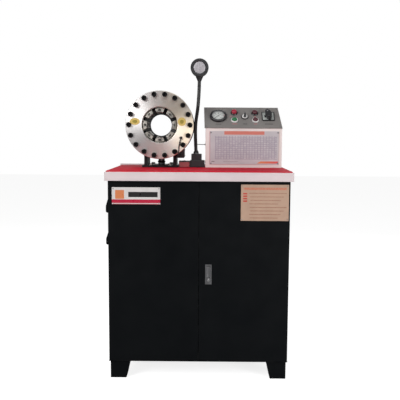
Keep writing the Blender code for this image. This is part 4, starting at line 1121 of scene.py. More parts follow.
# ------------------------------------------------------------------------------ the crimping head
@dataclass
class CrimpingHead:
    """The radial die head on its pedestal, with its discs, switch and oil inlet."""

    flange_radius: float = 0.1405
    flange_bore: float = 0.074
    flange_thickness: float = 0.030
    bolt_circle: float = 0.126
    bolt_count: int = 18
    bolt_radius: float = 0.0105
    bolt_height: float = 0.011
    cylinder_bore: float = 0.1285
    die_count: int = 8
    insert_radius: float = 0.0550
    pin_circle: float = 0.0612
    rear_face: float = 0.212
    collar_radius: float = 0.104
    hub_radius: float = 0.0885
    sleeve_radius: float = 0.0735
    sleeve_hole: float = 0.0450
    rear_circle: float = 0.118
    rear_count: int = 12

    def ring(self, name: str, profile: Sequence[Point], steps: int = 144) -> Workpiece:
        """A ring round the head's axis from (radius, height in front of the flange's face) points."""
        return Workpiece.turned(name, profile, steps, ring=True).stand((HEAD_X, 0, HEAD_Z), Facing.FRONT)

    def round_the_head(self, radius: float, degrees: float, y: float) -> Vector:
        """A place round the head's axis; degrees count clockwise from the top, seen from the front."""
        angle = math.radians(degrees)
        return Vector((HEAD_X + radius * math.sin(angle), y, HEAD_Z + radius * math.cos(angle)))

    def build(self) -> None:
        """Builds every piece of the head."""
        self.front()
        self.barrel()
        self.dies()
        self.discs()
        self.support()
        self.switch()

    def front(self) -> None:
        """The turned front flange with its screws."""
        outer, bore, deep = self.flange_radius, self.flange_bore, self.flange_thickness
        self.ring("turned_flange", [
            (bore, -deep), (outer - 0.0015, -deep), (outer, 0.0015 - deep), (outer, -0.0025),
            (outer - 0.0010, -0.0008), (outer - 0.0025, 0), (bore + 0.0030, 0), (bore + 0.0008, -0.0010),
            (bore, -0.0030)], 180).done("root", FLANGE_STEEL, "front_flange")
        places = [self.round_the_head(self.bolt_circle, 360 * (i + 0.5) / self.bolt_count, 0)
                  for i in range(self.bolt_count)]
        Fasteners.spread("flange_screw", Fasteners.head(Screw.SOCKET, self.bolt_radius, self.bolt_height),
                         places, Facing.FRONT, "root", BOLT_STEEL)

    def barrel(self) -> None:
        """The cylinder, the rear ring with its screws, and the cone piston."""
        low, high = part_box("head_cylinder")
        outer, bore = (high.x - low.x) / 2, self.cylinder_bore
        self.ring("barrel", [
            (bore, -high.y), (outer - 0.002, -high.y), (outer, 0.002 - high.y), (outer, -low.y - 0.012),
            (outer - 0.0015, -low.y - 0.010), (outer - 0.0015, -low.y - 0.006), (outer, -low.y - 0.004),
            (outer, -low.y), (bore, -low.y)]).done("root", BLACK_STEEL, "head_cylinder")
        front, back = high.y + 0.0003, self.rear_face
        low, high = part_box("rear_ring")
        outer, hub, sleeve = (high.x - low.x) / 2, self.hub_radius, self.sleeve_radius
        collar, hole = self.collar_radius, self.sleeve_hole
        self.ring("rear_cover_ring", [
            (outer, -front), (outer, 0.003 - back), (outer - 0.003, -back), (collar + 0.001, -back),
            (collar, -back - 0.001), (collar, 0.002 - high.y), (collar - 0.002, -high.y),
            (sleeve - 0.001, -high.y), (sleeve - 0.002, 0.001 - high.y), (sleeve - 0.002, -low.y - 0.003),
            (hole, -low.y - 0.003), (hole, -low.y), (sleeve, -low.y), (sleeve, 0.0027 - high.y),
            (hub, 0.0027 - high.y), (hub, -front)]).done("root", BLACK_STEEL, "rear_ring")
        # A thin light grey skin over the rear ring's face behind the dies: painted light in the deep recess,
        # which lies in shade.
        painted_light_lining = self.ring("guard_plate", [
            (sleeve - 0.0003, 0.0006 - low.y), (sleeve - 0.0003, -low.y - 0.0002), (hole, -low.y - 0.0002),
            (hole, 0.0004 - low.y), (hole + 0.0004, 0.0008 - low.y), (sleeve - 0.0008, 0.0008 - low.y)])
        painted_light_lining.done("root", LIT_GUARD_STEEL)
        places = [self.round_the_head(self.rear_circle, 360 * i / self.rear_count, back)
                  for i in range(self.rear_count)]
        Fasteners.spread("rear_ring_screw", Fasteners.head(Screw.SOCKET, 0.0085, 0.0080), places, Facing.BACK,
                         "root", BOLT_STEEL)
        Workpiece.refine("cone_piston", "piston", "piston", ZINC_STEEL, 0.0012)

    def dies(self) -> None:
        """The eight dies, each an insert held in its shoe by a pin plate."""
        for number in range(1, self.die_count + 1):
            body = f"die_{number}"
            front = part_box(body)[0].y
            shoe = Workpiece.from_node(f"die_shoe_{number}", body)
            bit = Workpiece.from_node(f"die_insert_{number}", body)
            core = Workpiece.rod("core", self.insert_radius, -0.14, 0.02, 96).stand(
                (HEAD_X, 0, HEAD_Z), Facing.FRONT)
            room = core.copy("room").modify("SOLIDIFY", thickness=-0.0004, offset=1.0)
            bit.combine(core, "INTERSECT").bevel(0.0006, 2).done(body, INSERT_STEEL, body)
            shoe.cut(room).bevel(0.0008, 2).done(body, DIE_STEEL)
            degrees = 360 * (number - 1) / self.die_count
            turn = Matrix.Rotation(math.radians(degrees), 4, "Y")
            plate = Workpiece.block(f"die_pin_plate_{number}", (-0.0050, -0.0014, -0.0032),
                                    (0.0050, 0.0006, 0.0032))
            plate.bevel(0.0006, 2)
            plate.cut(Workpiece.rod("hole", 0.0016, -0.01, 0.01, 16).stand(facing=Facing.FRONT))
            plate.stand(self.round_the_head(self.pin_circle, degrees, front), turn).done(body, BOLT_STEEL)

    def discs(self) -> None:
        """The two plain gilt discs on the flange."""
        for name, centre, half in (("left", (-0.268, 1.0096), (0.0205, 0.0140)),
                                   ("right", (-0.0743, 1.0095), (0.0168, 0.0172))):
            oval = [(half[0] * x, half[1] * y) for x, y in polygon(1, 48)]
            disc = Workpiece.outline(f"{name}_gilt_disc", oval, -0.0002, 0.0010)
            disc.press(lambda c, n: n.z > 0.9, 0.0022, (0, 0, -0.0004))
            disc.stand((centre[0], 0, centre[1]), Facing.FRONT).done("root", GOLD)
            inner = [(0.50 * half[0] * x, 0.50 * half[1] * y) for x, y in polygon(1, 24)]
            boss = Workpiece.outline(f"{name}_gilt_boss", inner, 0.0004, 0.0009).bevel(0.0002, 2)
            boss.stand((centre[0], 0, centre[1]), Facing.FRONT).done("root", DARK_GOLD)

    def support(self) -> None:
        """The pedestal with its bolts, and the oil inlet under the head."""
        Workpiece.refine("pedestal_frame", "pedestal", "root", BLACK_STEEL, 0.0010)
        low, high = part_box("pedestal")
        places = [(HEAD_X + side * 0.040, y, low.z + 0.008) for side in (-1, 1)
                  for y in ends(low.y, high.y, 0.018)]
        Fasteners.spread("pedestal_bolt", Fasteners.head(Screw.HEX, 0.0085, 0.0070), places,
                         Facing.UP, "root", ZINC_STEEL)
        low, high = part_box("inlet_fitting")
        centre = (low + high) / 2
        top = 0.8515
        body = Workpiece.turned("oil_inlet", [
            (0, low.z), (0.0090, low.z), (0.0100, low.z + 0.001), (0.0100, 0.8280), (0.0146, 0.8280),
            (0.0150, 0.8290), (0.0150, 0.8350), (0.0120, 0.8360), (0.0120, 0.8440), (0.0135, 0.8450),
            (0.0135, top - 0.001), (0.0125, top), (0.0090, top), (0.0090, high.z), (0, high.z)], 48)
        body.stand((centre.x, centre.y, 0)).done("root", LOCK_ZINC, "inlet_fitting")
        nut = Workpiece.outline("oil_inlet_nut", polygon(0.0165, 6), 0.8362, 0.8440)
        nut.cut(Workpiece.rod("hole", 0.0118, 0.83, 0.85, 32)).bevel(0.0006, 2)
        nut.stand((centre.x, centre.y, 0)).done("root", BOLT_STEEL)

    def switch(self) -> None:
        """The limit switch with its lid, gland and cable, and the clip on the flange."""
        Workpiece.refine("switch_case", "limit_switch", "root", BLACK_PLASTIC, 0.0010)
        low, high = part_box("limit_switch")
        lid = Workpiece.block("switch_lid", (high.x - 0.0008, low.y + 0.004, low.z + 0.004),
                              (high.x + 0.0022, high.y - 0.004, high.z - 0.004)).bevel(0.0010, 3)
        lid.done("root", GLOSS_BLACK)
        places = [(high.x + 0.0020, y, z) for y in ends(low.y, high.y, 0.009)
                  for z in ends(low.z, high.z, 0.009)]
        Fasteners.spread("switch_lid_screw", Fasteners.head(Screw.PAN, 0.0028, 0.0016), places, Facing.RIGHT,
                         "root", ZINC_STEEL)
        inlet = Vector((-0.0800, low.y, 0.8700))
        Workpiece.turned("switch_gland", [(0, -0.001), (0.0050, -0.001), (0.0050, 0.004), (0.0036, 0.008),
                                          (0.0024, 0.010), (0, 0.010)], 24).stand(inlet, Facing.FRONT).done(
            "root", BLACK_PLASTIC)
        clip = Vector((-0.0778, 0.0, 0.9430))
        Workpiece.turned("cable_clip", [
            (0, -0.0004), (0.0062, -0.0004), (0.0062, 0.0040), (0.0048, 0.0056), (0, 0.0062)],
                         28).stand(clip, Facing.FRONT).done("root", BLACK_PLASTIC)
        anchors = [clip + Vector((0, -0.0036, 0)), clip + Vector((-0.0028, -0.0036, -0.010)),
                   (-0.0850, -0.0034, 0.9170), (-0.0876, -0.0034, 0.8960), (-0.0872, -0.0026, 0.8790),
                   (-0.0850, 0.0080, 0.8705), inlet + Vector((0, -0.008, 0))]
        Workpiece.tube("switch_cable", smooth_route(anchors, 48), 0.0018).done("root", HOSE_BLACK)


# ------------------------------------------------------------------------------ the control box
@dataclass
class ControlBox:
    """The folded control box with its sloping panel, gauge, buttons and switches."""

    plate_top: float = 0.0033
    bezel_radius: float = 0.0152
    button_radius: float = 0.0112
    flush_top: float = 0.0120
    gauge_radius: float = 0.0365
    buttons: dict[str, tuple[float, float, float]] = field(default_factory=lambda: {
        "stop": (0.1450, 0.094, 0.0175), "start": (0.1458, 0.048, 0.0115),
        "crimp": (0.2332, 0.093, 0.0150), "open": (0.2340, 0.048, 0.0115)})
    selector: tuple[float, float] = (0.1897, 0.068)
    rotary: tuple[float, float] = (0.2890, 0.071)
    rotary_lean: float = 14.0

    def on_panel(self, piece: Workpiece, x: float, up: float, lift: float = 0.0) -> Workpiece:
        """Stands a piece on the panel, x across and up its slope, lifted off the frame's own plane."""
        return piece.stand(facing=PANEL @ Matrix.Translation((x, up, lift)))

    def build(self) -> None:
        """Builds every piece of the control box."""
        Workpiece.refine("control_box_shell", "control_box", "root", CREAM_SHEET, 0.0012, 3)
        Workpiece.refine("sloping_panel", "control_panel", "root", PANEL_GREY, 0.0005)
        Workpiece.refine("crimp_chart_print", "crimp_chart", "root", CHART_PRINT, 0.0003)
        self.gauge()
        self.push_buttons()
        self.selector_switch()
        self.rotary_switch()
        self.labels()
        self.screws()

    def gauge(self) -> None:
        """The pressure gauge: bezel, dial, glass, needle and boss."""
        r, top = self.gauge_radius, 0.0136
        bezel = Workpiece.turned("gauge_bezel", [
            (r, self.plate_top - 0.0002), (r, 0.0100), (r - 0.0012, 0.0125), (r - 0.0035, top),
            (r - 0.0070, top), (r - 0.0100, 0.0122), (r - 0.0100, 0.0070),
            (r - 0.0100, self.plate_top - 0.0002)], 96, ring=True)
        self.on_panel(bezel, *GAUGE).done("root", GLOSS_BLACK, "gauge_case")
        dial = Workpiece.turned("gauge_dial_plate", [(0, 0.0040), (r - 0.0098, 0.0040), (r - 0.0098, 0.0079),
                                                     (r - 0.0101, 0.0081), (0, 0.0081)], 72)
        self.on_panel(dial, *GAUGE).done("root", GAUGE_DIAL)
        cover = Workpiece.turned("gauge_window", [(0, 0.0113), (r - 0.0098, 0.0113), (r - 0.0098, 0.0120),
                                                  (0, 0.0123)], 72)
        self.on_panel(cover, *GAUGE).done("root", CLEAR)
        Workpiece.refine("gauge_pointer", "gauge_needle", "gauge_needle", NEEDLE_BLACK, 0.0002)
        boss = Workpiece.turned("pointer_boss", [
            (0, 0.0094), (0.0030, 0.0094), (0.0030, 0.0104), (0.0022, 0.0110), (0, 0.0111)], 32)
        self.on_panel(boss, *GAUGE).done("gauge_needle", CHROME)

    def push_buttons(self) -> None:
        """The four push buttons, each a cap in its bezel; the flush ones have pale bezels, a painted
        reflection that stands in for chrome.
        """
        caps = {"stop": STOP_RED, "start": START_GREEN, "crimp": DARK_RED, "open": DARK_RED}
        for name, (x, up, top) in self.buttons.items():
            r, outer = self.button_radius, self.bezel_radius
            bezel = Workpiece.turned(f"{name}_bezel", [
                (r + 0.0002, self.plate_top - 0.0002), (outer, self.plate_top - 0.0002), (outer, 0.0056),
                (outer - 0.0010, 0.0074), (outer - 0.0022, 0.0082), (r + 0.0008, 0.0082),
                (r + 0.0002, 0.0076)], 64, ring=True)
            # The flush buttons' pale bezels are a painted reflection of chrome bezels.
            self.on_panel(bezel, x, up).done("root", PALE_RING_AND_GLINT if top < self.flush_top else GLOSS_BLACK)
            dome = [(r, 0.0035), (r, top - 0.0030), (r - 0.0006, top - 0.0014), (r - 0.0020, top - 0.0004),
                    (r - 0.0040, top), (0, top - 0.0002)]
            cap = Workpiece.turned(f"{name}_cap", [(0, 0.0035)] + dome, 64)
            self.on_panel(cap, x, up).done(f"{name}_button", caps[name], f"{name}_button")

    def selector_switch(self) -> None:
        """The two-way selector with its bezel, a pale base that is partly light grey and partly a painted
        reflection, and a black lever.
        """
        x, up = self.selector
        bezel = Workpiece.turned("selector_bezel", [
            (0.0128, self.plate_top - 0.0002), (0.0150, self.plate_top - 0.0002), (0.0150, 0.0056),
            (0.0142, 0.0072), (0.0134, 0.0074), (0.0128, 0.0068)], 64, ring=True)
        self.on_panel(bezel, x, up).done("root", GLOSS_BLACK)
        base, top = self.plate_top + 0.0002, 0.0112
        disc = Workpiece.turned("selector_base", [(0, base), (0.0124, base), (0.0124, top - 0.002),
                                                  (0.0110, top), (0, top)], 48)
        # The pale base is partly its light grey and partly a painted reflection.
        self.on_panel(disc, x, up).done("selector_knob", PALE_RING_AND_GLINT, "selector_knob")
        shape = arc((0, 0.0075), 0.0030, 0, 180, 8) + arc((0, -0.0075), 0.0042, 180, 360, 8)
        lever = Workpiece.outline("selector_lever", shape, 0.0100, 0.0236).bevel(0.0010, 3)
        self.on_panel(lever, x, up).done("selector_knob", GLOSS_BLACK)
        line = Workpiece.block("selector_line", (-0.0006, 0.0010, 0.0234),
                               (0.0006, 0.0085, 0.0238)).bevel(0.0002, 2)
        self.on_panel(line, x, up).done("selector_knob", LENS_WHITE)

    def rotary_switch(self) -> None:
        """The mains switch: a bright plate in a dark border, and an oval knob."""
        x, up = self.rotary
        lean = Matrix.Rotation(math.radians(self.rotary_lean), 4, "Z")
        border = Workpiece.outline("rotary_border", rounded(0.0540, 0.0540, 0.003),
                                   self.plate_top - 0.0002, 0.0072)
        border.press(lambda c, n: n.z > 0.9, 0.0036, (0, 0, -0.0010)).bevel(0.0003, 2)
        self.on_panel(border, x, up).done("root", GLOSS_BLACK)
        face = Workpiece.outline("rotary_plate", rounded(0.0466, 0.0466, 0.001), 0.0060,
                                 0.0068).bevel(0.0002, 2)
        self.on_panel(face, x, up).done("root", ROTARY_SILVER)
        knob = Workpiece.outline("rotary_grip", [(0.0125 * px, 0.0255 * py) for px, py in polygon(1, 60)],
                                 0.0074, 0.0281)
        knob.press(lambda c, n: n.z > 0.9, 0.0030, (0, 0, -0.0016)).bevel(0.0014, 3)
        skirt = Workpiece.turned("rotary_skirt", [
            (0, 0.0071), (0.0160, 0.0071), (0.0160, 0.0086), (0.0140, 0.0106), (0, 0.0106)], 64)
        self.on_panel(knob.stand(facing=lean), x, up).done("rotary_knob", GLOSS_BLACK, "rotary_knob")
        self.on_panel(skirt, x, up).done("rotary_knob", GLOSS_BLACK)
        mark = Workpiece.block("rotary_line", (-0.0008, 0.010, 0.0263),
                               (0.0008, 0.021, 0.0268)).bevel(0.0002, 2)
        self.on_panel(mark.stand(facing=lean), x, up).done("rotary_knob", LENS_WHITE)

    def labels(self) -> None:
        """The small engraved label strips under the controls, left blank."""
        low = 0.0240
        strips = (("gauge", GAUGE[0], low - 0.002, 0.024, LABEL_GREY),
                  ("start", 0.1458, low, 0.022, LABEL_RED), ("stop", 0.1300, 0.0720, 0.008, LABEL_RED),
                  ("selector", 0.1897, low, 0.018, LABEL_GREY), ("open", 0.2340, low, 0.014, LABEL_RED),
                  ("crimp", 0.2340, 0.0705, 0.008, LABEL_RED), ("rotary", 0.2900, low, 0.034, LABEL_GREY))
        for name, x, up, width, finish in strips:
            strip = Workpiece.outline(f"{name}_label", rounded(width, 0.0045, 0.0008),
                                      self.plate_top - 0.0001, self.plate_top + 0.0004)
            self.on_panel(strip.bevel(0.00015, 1), x, up).done("root", finish)

    def screws(self) -> None:
        """The panel's corner screws, the chart's rivets and the side screws."""
        master = Fasteners.head(Screw.PAN, 0.0034, 0.0016)
        corners = ((0.0265, 0.007), (0.3360, 0.007), (0.0250, 0.123), (0.3265, 0.123))
        for number, (x, up) in enumerate(corners, 1):
            self.on_panel(master.copy(f"panel_screw_{number}"), x, up, self.plate_top).done("root", LOCK_ZINC)
        low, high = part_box("crimp_chart")
        corners = [(x, low.y, z) for x in ends(low.x, high.x, 0.006) for z in ends(low.z, high.z, 0.006)]
        Fasteners.spread("chart_screw", master, corners, Facing.FRONT, "root", LOCK_ZINC)
        low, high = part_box("control_box")
        places = [(low.x, y, low.z + 0.020) for y in ends(low.y, high.y, 0.025)]
        Fasteners.spread("box_side_screw", Fasteners.head(Screw.PAN, 0.0042, 0.0020), places,
                         Facing.LEFT, "root", LOCK_ZINC)
        rear = [(x, high.y, z) for x in (low.x + 0.014, high.x - 0.024)
                for z in (low.z + 0.016, high.z - 0.026)]
        Fasteners.spread("box_rear_screw", Fasteners.head(Screw.PAN, 0.0042, 0.0020), rear,
                         Facing.BACK, "root", LOCK_ZINC)


# ------------------------------------------------------------------------------ the work lamp
@dataclass
class WorkLamp:
    """The gooseneck lamp beside the control box."""

    y: float = 0.075
    neck_radius: float = 0.0075
    rib_pitch: float = 0.0026
    overlap: float = 0.004
    head_radius: float = 0.0375
    fins: int = 4
    fin_pitch: float = 0.0058
    anchors: tuple[tuple[float, float], ...] = (
        (-0.0160, 0.8760), (-0.0178, 0.915), (-0.0190, 0.950), (-0.0190, 0.985), (-0.0165, 1.020),
        (-0.0120, 1.050), (-0.0083, 1.0833), (-0.0050, 1.1340), (-0.0035, 1.1850))

    def build(self) -> None:
        """Builds every piece of the lamp."""
        self.base()
        self.neck()
        self.head()

    def base(self) -> None:
        """The moulded base, the terminal box beside it and the cable to the control box."""
        Workpiece.refine("lamp_foot", "lamp_base", "root", BLACK_PLASTIC, 0.0016, 3)
        Workpiece.turned("neck_collar", [(0, 0.8750), (0.0115, 0.8750), (0.0115, 0.8800), (0.0100, 0.8850),
                                         (0.0082, 0.8890), (0, 0.8890)], 40).stand((-0.0160, self.y, 0)).done(
            "root", GLOSS_BLACK)
        low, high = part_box("terminal_box")
        Workpiece.refine("terminal_case", "terminal_box", "root", BLACK_PLASTIC, 0.0010)
        # A thin pink sheet on the terminal box's black face: a painted reflection of the red mat.
        face = Workpiece.block("terminal_cover", (low.x + 0.002, low.y - 0.0009, low.z + 0.0012),
                               (high.x - 0.001, low.y + 0.0005, high.z - 0.0045)).bevel(0.0005, 2)
        face.done("root", MAT_REFLECTION_ROSE)
        screws = [((low.x + high.x) / 2, y, high.z) for y in ends(low.y, high.y, 0.008)]
        Fasteners.spread("terminal_screw", Fasteners.head(Screw.PAN, 0.0030, 0.0015), screws,
                         Facing.UP, "root", ZINC_STEEL)
        box_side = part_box("control_box")[0].x
        route = smooth_route([(-0.0175, self.y, 0.9165), (-0.0040, self.y, 0.9158), (0.0100, self.y, 0.9152),
                              (box_side + 0.001, self.y, 0.9155)], 20)
        Workpiece.tube("lamp_cable", route, 0.0014, 3).done("root", HOSE_BLACK)
        Workpiece.turned("cable_grommet", [
            (0, -0.0006), (0.0042, -0.0006), (0.0040, 0.0014), (0.0026, 0.0028), (0, 0.0028)],
                         24).stand((box_side, self.y, 0.9155), Facing.LEFT).done("root", BLACK_PLASTIC)

    def neck(self) -> None:
        """The ribbed neck in three overlapping skins, split at the midpoints between its last anchors."""
        rings = 2 * int((self.anchors[-1][1] - self.anchors[0][1]) / self.rib_pitch)
        route = smooth_route([(x, self.y, z) for x, z in self.anchors], rings)
        splits = [(a[1] + b[1]) / 2 for a, b in zip(self.anchors[-3:], self.anchors[-2:])]
        bands = ((0.0, splits[0]), (splits[0], splits[1]), (splits[1], 2.0))
        nodes = ("neck_lower", "neck_middle", "neck_upper")
        for number, (low, high) in enumerate(bands):
            part = [p for p in route if low - self.overlap <= p.z <= high + self.overlap]
            skin = Workpiece.tube(f"neck_skin_{number + 1}", part, self.neck_radius, 10, waist=0.90).hold()
            bpy.ops.object.shade_smooth_by_angle(angle=math.radians(60))
            made = skin.object
            made.data.materials.clear()
            made.data.materials.append(NECK_BLACK.material())
            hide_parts(nodes[number])
            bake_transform(made)

    def head(self) -> None:
        """The round lamp head: finned back, bright ring, lens and its socket on the neck."""
        low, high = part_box("lamp_lens")
        centre, lens = (low + high) / 2, (high.x - low.x) / 2
        low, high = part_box("lamp_head")
        rim, back, r = -low.y, high.y, self.head_radius
        place = (centre.x, 0, centre.z)
        shell = [(0, -back), (0.62 * r, -back), (0.80 * r, 0.004 - back), (0.90 * r, 0.009 - back)]
        for fin in range(self.fins):
            base = 0.010 - back + self.fin_pitch * fin
            shell += [
                (0.99 * r, base), (0.99 * r, base + 0.0026), (0.86 * r, base + 0.0032),
                (0.86 * r, base + 0.0054)]
        shell += [(r, rim - 0.0110), (r, rim - 0.0018), (r - 0.0016, rim), (lens + 0.0034, rim),
                  (lens + 0.0006, rim - 0.0030), (lens + 0.0004, rim - 0.0070), (0, rim - 0.0070)]
        body = Workpiece.turned("lamp_shell", shell, 96).stand(place, Facing.FRONT)
        body.done("lamp_head", LAMP_RING, "lamp_head")
        band = Workpiece.turned("lamp_band", [
            (r - 0.0008, rim - 0.0100), (r + 0.0003, rim - 0.0100), (r + 0.0003, rim - 0.0040),
            (r - 0.0008, rim - 0.0040)], 96, ring=True)
        band.stand(place, Facing.FRONT).done("lamp_head", CHROME)
        glass = Workpiece.turned("lamp_glass", [(0, rim - 0.0072), (lens, rim - 0.0072), (lens, rim - 0.0036),
                                                (0.90 * lens, rim - 0.0020), (0.5 * lens, rim - 0.0010),
                                                (0, rim - 0.0008)], 72)
        glass.stand(place, Facing.FRONT).done("lamp_head", LENS_WHITE, "lamp_lens")
        x, z = self.anchors[-1]
        socket = Workpiece.turned("lamp_socket", [
            (0, -0.0040), (0.0086, -0.0040), (0.0096, 0.0), (0.0112, 0.004), (0.0150, 0.0120),
            (0.0165, 0.0180), (0.0165, 0.0240), (0, 0.0240)], 48)
        socket.stand((x, self.y, z)).done("lamp_head", BLACK_PLASTIC)


# ------------------------------------------------------------------------------ the power pack
@dataclass
class PowerPack:
    """The oil tank, motor, pump, valves and hoses that stand inside the cabinet."""

    motor_y: float = 0.030
    motor_z: float = 0.185
    foot_reach: float = 0.070
    shields: tuple[float, float] = (0.050, 0.250)
    floor: float = 0.0738
    fins: int = 40
    fin_radii: tuple[float, float] = (0.0735, 0.0790)
    shaft_hole: float = 0.0126
    fan_radius: float = 0.0580
    blades: int = 9
    grille_slots: int = 20
    manifold: tuple[float, float] = (-0.215, -0.115)
    coil_place: tuple[float, float] = (0.060, 0.330)
    press_route: tuple[Point, ...] = (
        (HEAD_X, 0.070, 0.3612), (HEAD_X, 0.070, 0.42), (HEAD_X, 0.095, 0.55), (HEAD_X, 0.128, 0.68),
        (HEAD_X, 0.130, 0.75), (HEAD_X, 0.130, 0.7947))
    pump_route: tuple[Point, ...] = (
        (0.005, 0.030, 0.2412), (0.005, 0.030, 0.32), (-0.035, 0.030, 0.42), (-0.095, 0.036, 0.44),
        (-0.135, 0.042, 0.41), (-0.138, 0.045, 0.3612))

    def build(self) -> None:
        """Builds every piece of the power pack."""
        self.tank()
        self.filler_cap()
        self.motor()
        self.rotor()
        self.fan_cover()
        self.pump()
        self.valves()
        self.hose("press", self.press_route, 0.010, (Facing.UP, Facing.DOWN))
        self.hose("pump", self.pump_route, 0.008, (Facing.UP, Facing.UP))

    def along_motor(self, piece: Workpiece) -> Workpiece:
        """Lays a piece's own +Z along the motor's axis, towards the fan."""
        return piece.stand((0, self.motor_y, self.motor_z), Facing.RIGHT)

    def spokes(self, first: Workpiece, count: int) -> Workpiece:
        """Gathers copies of a piece all round its own Z."""
        turns = [Matrix.Rotation(math.tau * i / count, 4, "Z") for i in range(1, count)]
        return first.gather(*[first.copy("spoke").stand(facing=turn) for turn in turns])

    def tank(self) -> None:
        """The welded tank with its level glass, drain plug and lid screws."""
        low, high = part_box("oil_tank")
        Workpiece.refine("welded_tank", "oil_tank", "root", TANK_GREY, 0.0022, 3)
        glass_x, glass_z = low.x + 0.045, (low.z + high.z) / 2
        surround = Workpiece.outline("level_frame", rounded(0.026, 0.104, 0.006), -0.0003, 0.0060)
        surround.cut(Workpiece.outline("window", rounded(0.014, 0.078, 0.004), 0.0020,
                                       0.0100)).bevel(0.0008, 2)
        surround.stand((glass_x, low.y, glass_z), Facing.FRONT).done("root", BLACK_PLASTIC)
        level = Workpiece.outline("level_glass", rounded(0.0136, 0.0776, 0.0038), 0.0018,
                                  0.0046).bevel(0.0004, 2)
        level.stand((glass_x, low.y, glass_z), Facing.FRONT).done("root", OIL_GLASS)
        Fasteners.spread("level_screw", Fasteners.head(Screw.SOCKET, 0.0042, 0.0034),
                         [(glass_x, low.y - 0.0058, glass_z + z) for z in (-0.0455, 0.0455)],
                         Facing.FRONT, "root", ZINC_STEEL)
        Fasteners.spread("drain_plug", Fasteners.head(Screw.HEX, 0.0110, 0.0080),
                         [((low.x + high.x) / 2, low.y, low.z + 0.018)], Facing.FRONT, "root", BRASS)
        places = [(x, y, high.z) for x in (low.x + 0.012, (low.x + high.x) / 2, high.x - 0.012)
                  for y in ends(low.y, high.y, 0.012)]
        Fasteners.spread("lid_screw", Fasteners.head(Screw.HEX, 0.0062, 0.0042), places, Facing.UP, "root",
                         ZINC_STEEL)

    def filler_cap(self) -> None:
        """The knurled filler cap."""
        low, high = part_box("filler_cap")
        centre, top, outer = middle("filler_cap"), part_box("oil_tank")[1].z, (high.x - low.x) / 2
        radii = (outer, outer - 0.0009)
        knurl = [(radii[i % 2] * x, radii[i % 2] * y) for i, (x, y) in enumerate(polygon(1, 72))]
        cap = Workpiece.outline("breather_cap", knurl, 0.0003, 0.0225)
        crown = Workpiece.turned("crown", [(0, 0.020), (outer - 0.0016, 0.020), (outer - 0.0016, 0.0235),
                                           (outer - 0.0040, 0.0262), (outer - 0.010, high.z - top),
                                           (0, high.z - top)], 64)
        plug = Workpiece.turned("plug", [
            (0, -0.012), (0.0184, -0.012), (0.0194, -0.011), (0.0194, 0.002), (0, 0.002)], 48)
        cap.join(crown, plug).stand((centre.x, centre.y, top)).done("filler_cap", BLACK_PLASTIC, "filler_cap")

    def motor(self) -> None:
        """The finned motor between its end shields, with its feet and terminal box."""
        root, tip = self.fin_radii
        teeth = []
        for fin in range(self.fins):
            for share, radius in ((0.0, root), (0.52, root), (0.60, tip), (0.92, tip)):
                angle = math.tau * (fin + share) / self.fins
                teeth.append((radius * math.cos(angle), radius * math.sin(angle)))
        jacket = Workpiece.outline("motor_jacket", teeth, 0.066, 0.234)
        jacket.cut(Workpiece.rod("bore", self.shaft_hole, 0, 0.3, 40))
        self.along_motor(jacket).done("root", MOTOR_GREY, "motor_housing")
        profile = ((self.shaft_hole, 0.0), (0.0300, 0.0), (0.0320, 0.001), (0.0350, 0.006), (0.0700, 0.009),
                   (tip - 0.002, 0.010), (tip, 0.012), (tip, 0.0185), (self.shaft_hole, 0.0185))
        for end, face, inwards in (("drive", self.shields[0], 1), ("fan", self.shields[1], -1)):
            shield = Workpiece.turned(f"{end}_end_shield",
                                      [(r, face + inwards * h) for r, h in profile], 96, ring=True)
            self.along_motor(shield).done("root", MOTOR_GREY)
        low_y, high_y = self.motor_y - self.foot_reach, self.motor_y + self.foot_reach
        Workpiece.block("motor_base", (0.075, low_y, self.floor), (0.225, high_y, self.floor + 0.010)).bevel(
            0.0018, 3).done("root", MOTOR_GREY)
        for side, y in (("front", low_y + 0.026), ("rear", high_y - 0.038)):
            web = Workpiece.block(f"{side}_motor_web", (0.080, y, self.floor + 0.009),
                                  (0.220, y + 0.012, 0.136))
            web.bevel(0.0025, 3).done("root", MOTOR_GREY)
        Fasteners.spread("motor_bolt", Fasteners.head(Screw.HEX, 0.0080, 0.0060),
                         [(x, y, self.floor + 0.010) for x in (0.090, 0.210)
                          for y in ends(low_y, high_y, 0.012)], Facing.UP, "root", ZINC_STEEL)
        case = Workpiece.block("motor_terminal_box", (0.110, -0.008, 0.254),
                               (0.190, 0.068, 0.291)).bevel(0.004, 3)
        case.done("root", MOTOR_GREY)
        lid = Workpiece.block("motor_terminal_lid", (0.107, -0.011, 0.290),
                              (0.193, 0.071, 0.299)).bevel(0.003, 3)
        lid.done("root", MOTOR_GREY)
        Fasteners.spread("terminal_lid_screw", Fasteners.head(Screw.PAN, 0.0036, 0.0022),
                         [(x, y, 0.299) for x in (0.114, 0.186) for y in (-0.004, 0.064)], Facing.UP, "root",
                         ZINC_STEEL)
        gland = Workpiece.turned("motor_gland", [
            (0, -0.001), (0.0100, -0.001), (0.0100, 0.006), (0.0075, 0.010),
            (0.0060, 0.016), (0, 0.016)], 32)
        gland.stand((0.150, -0.008, 0.272), Facing.FRONT).done("root", BLACK_PLASTIC)

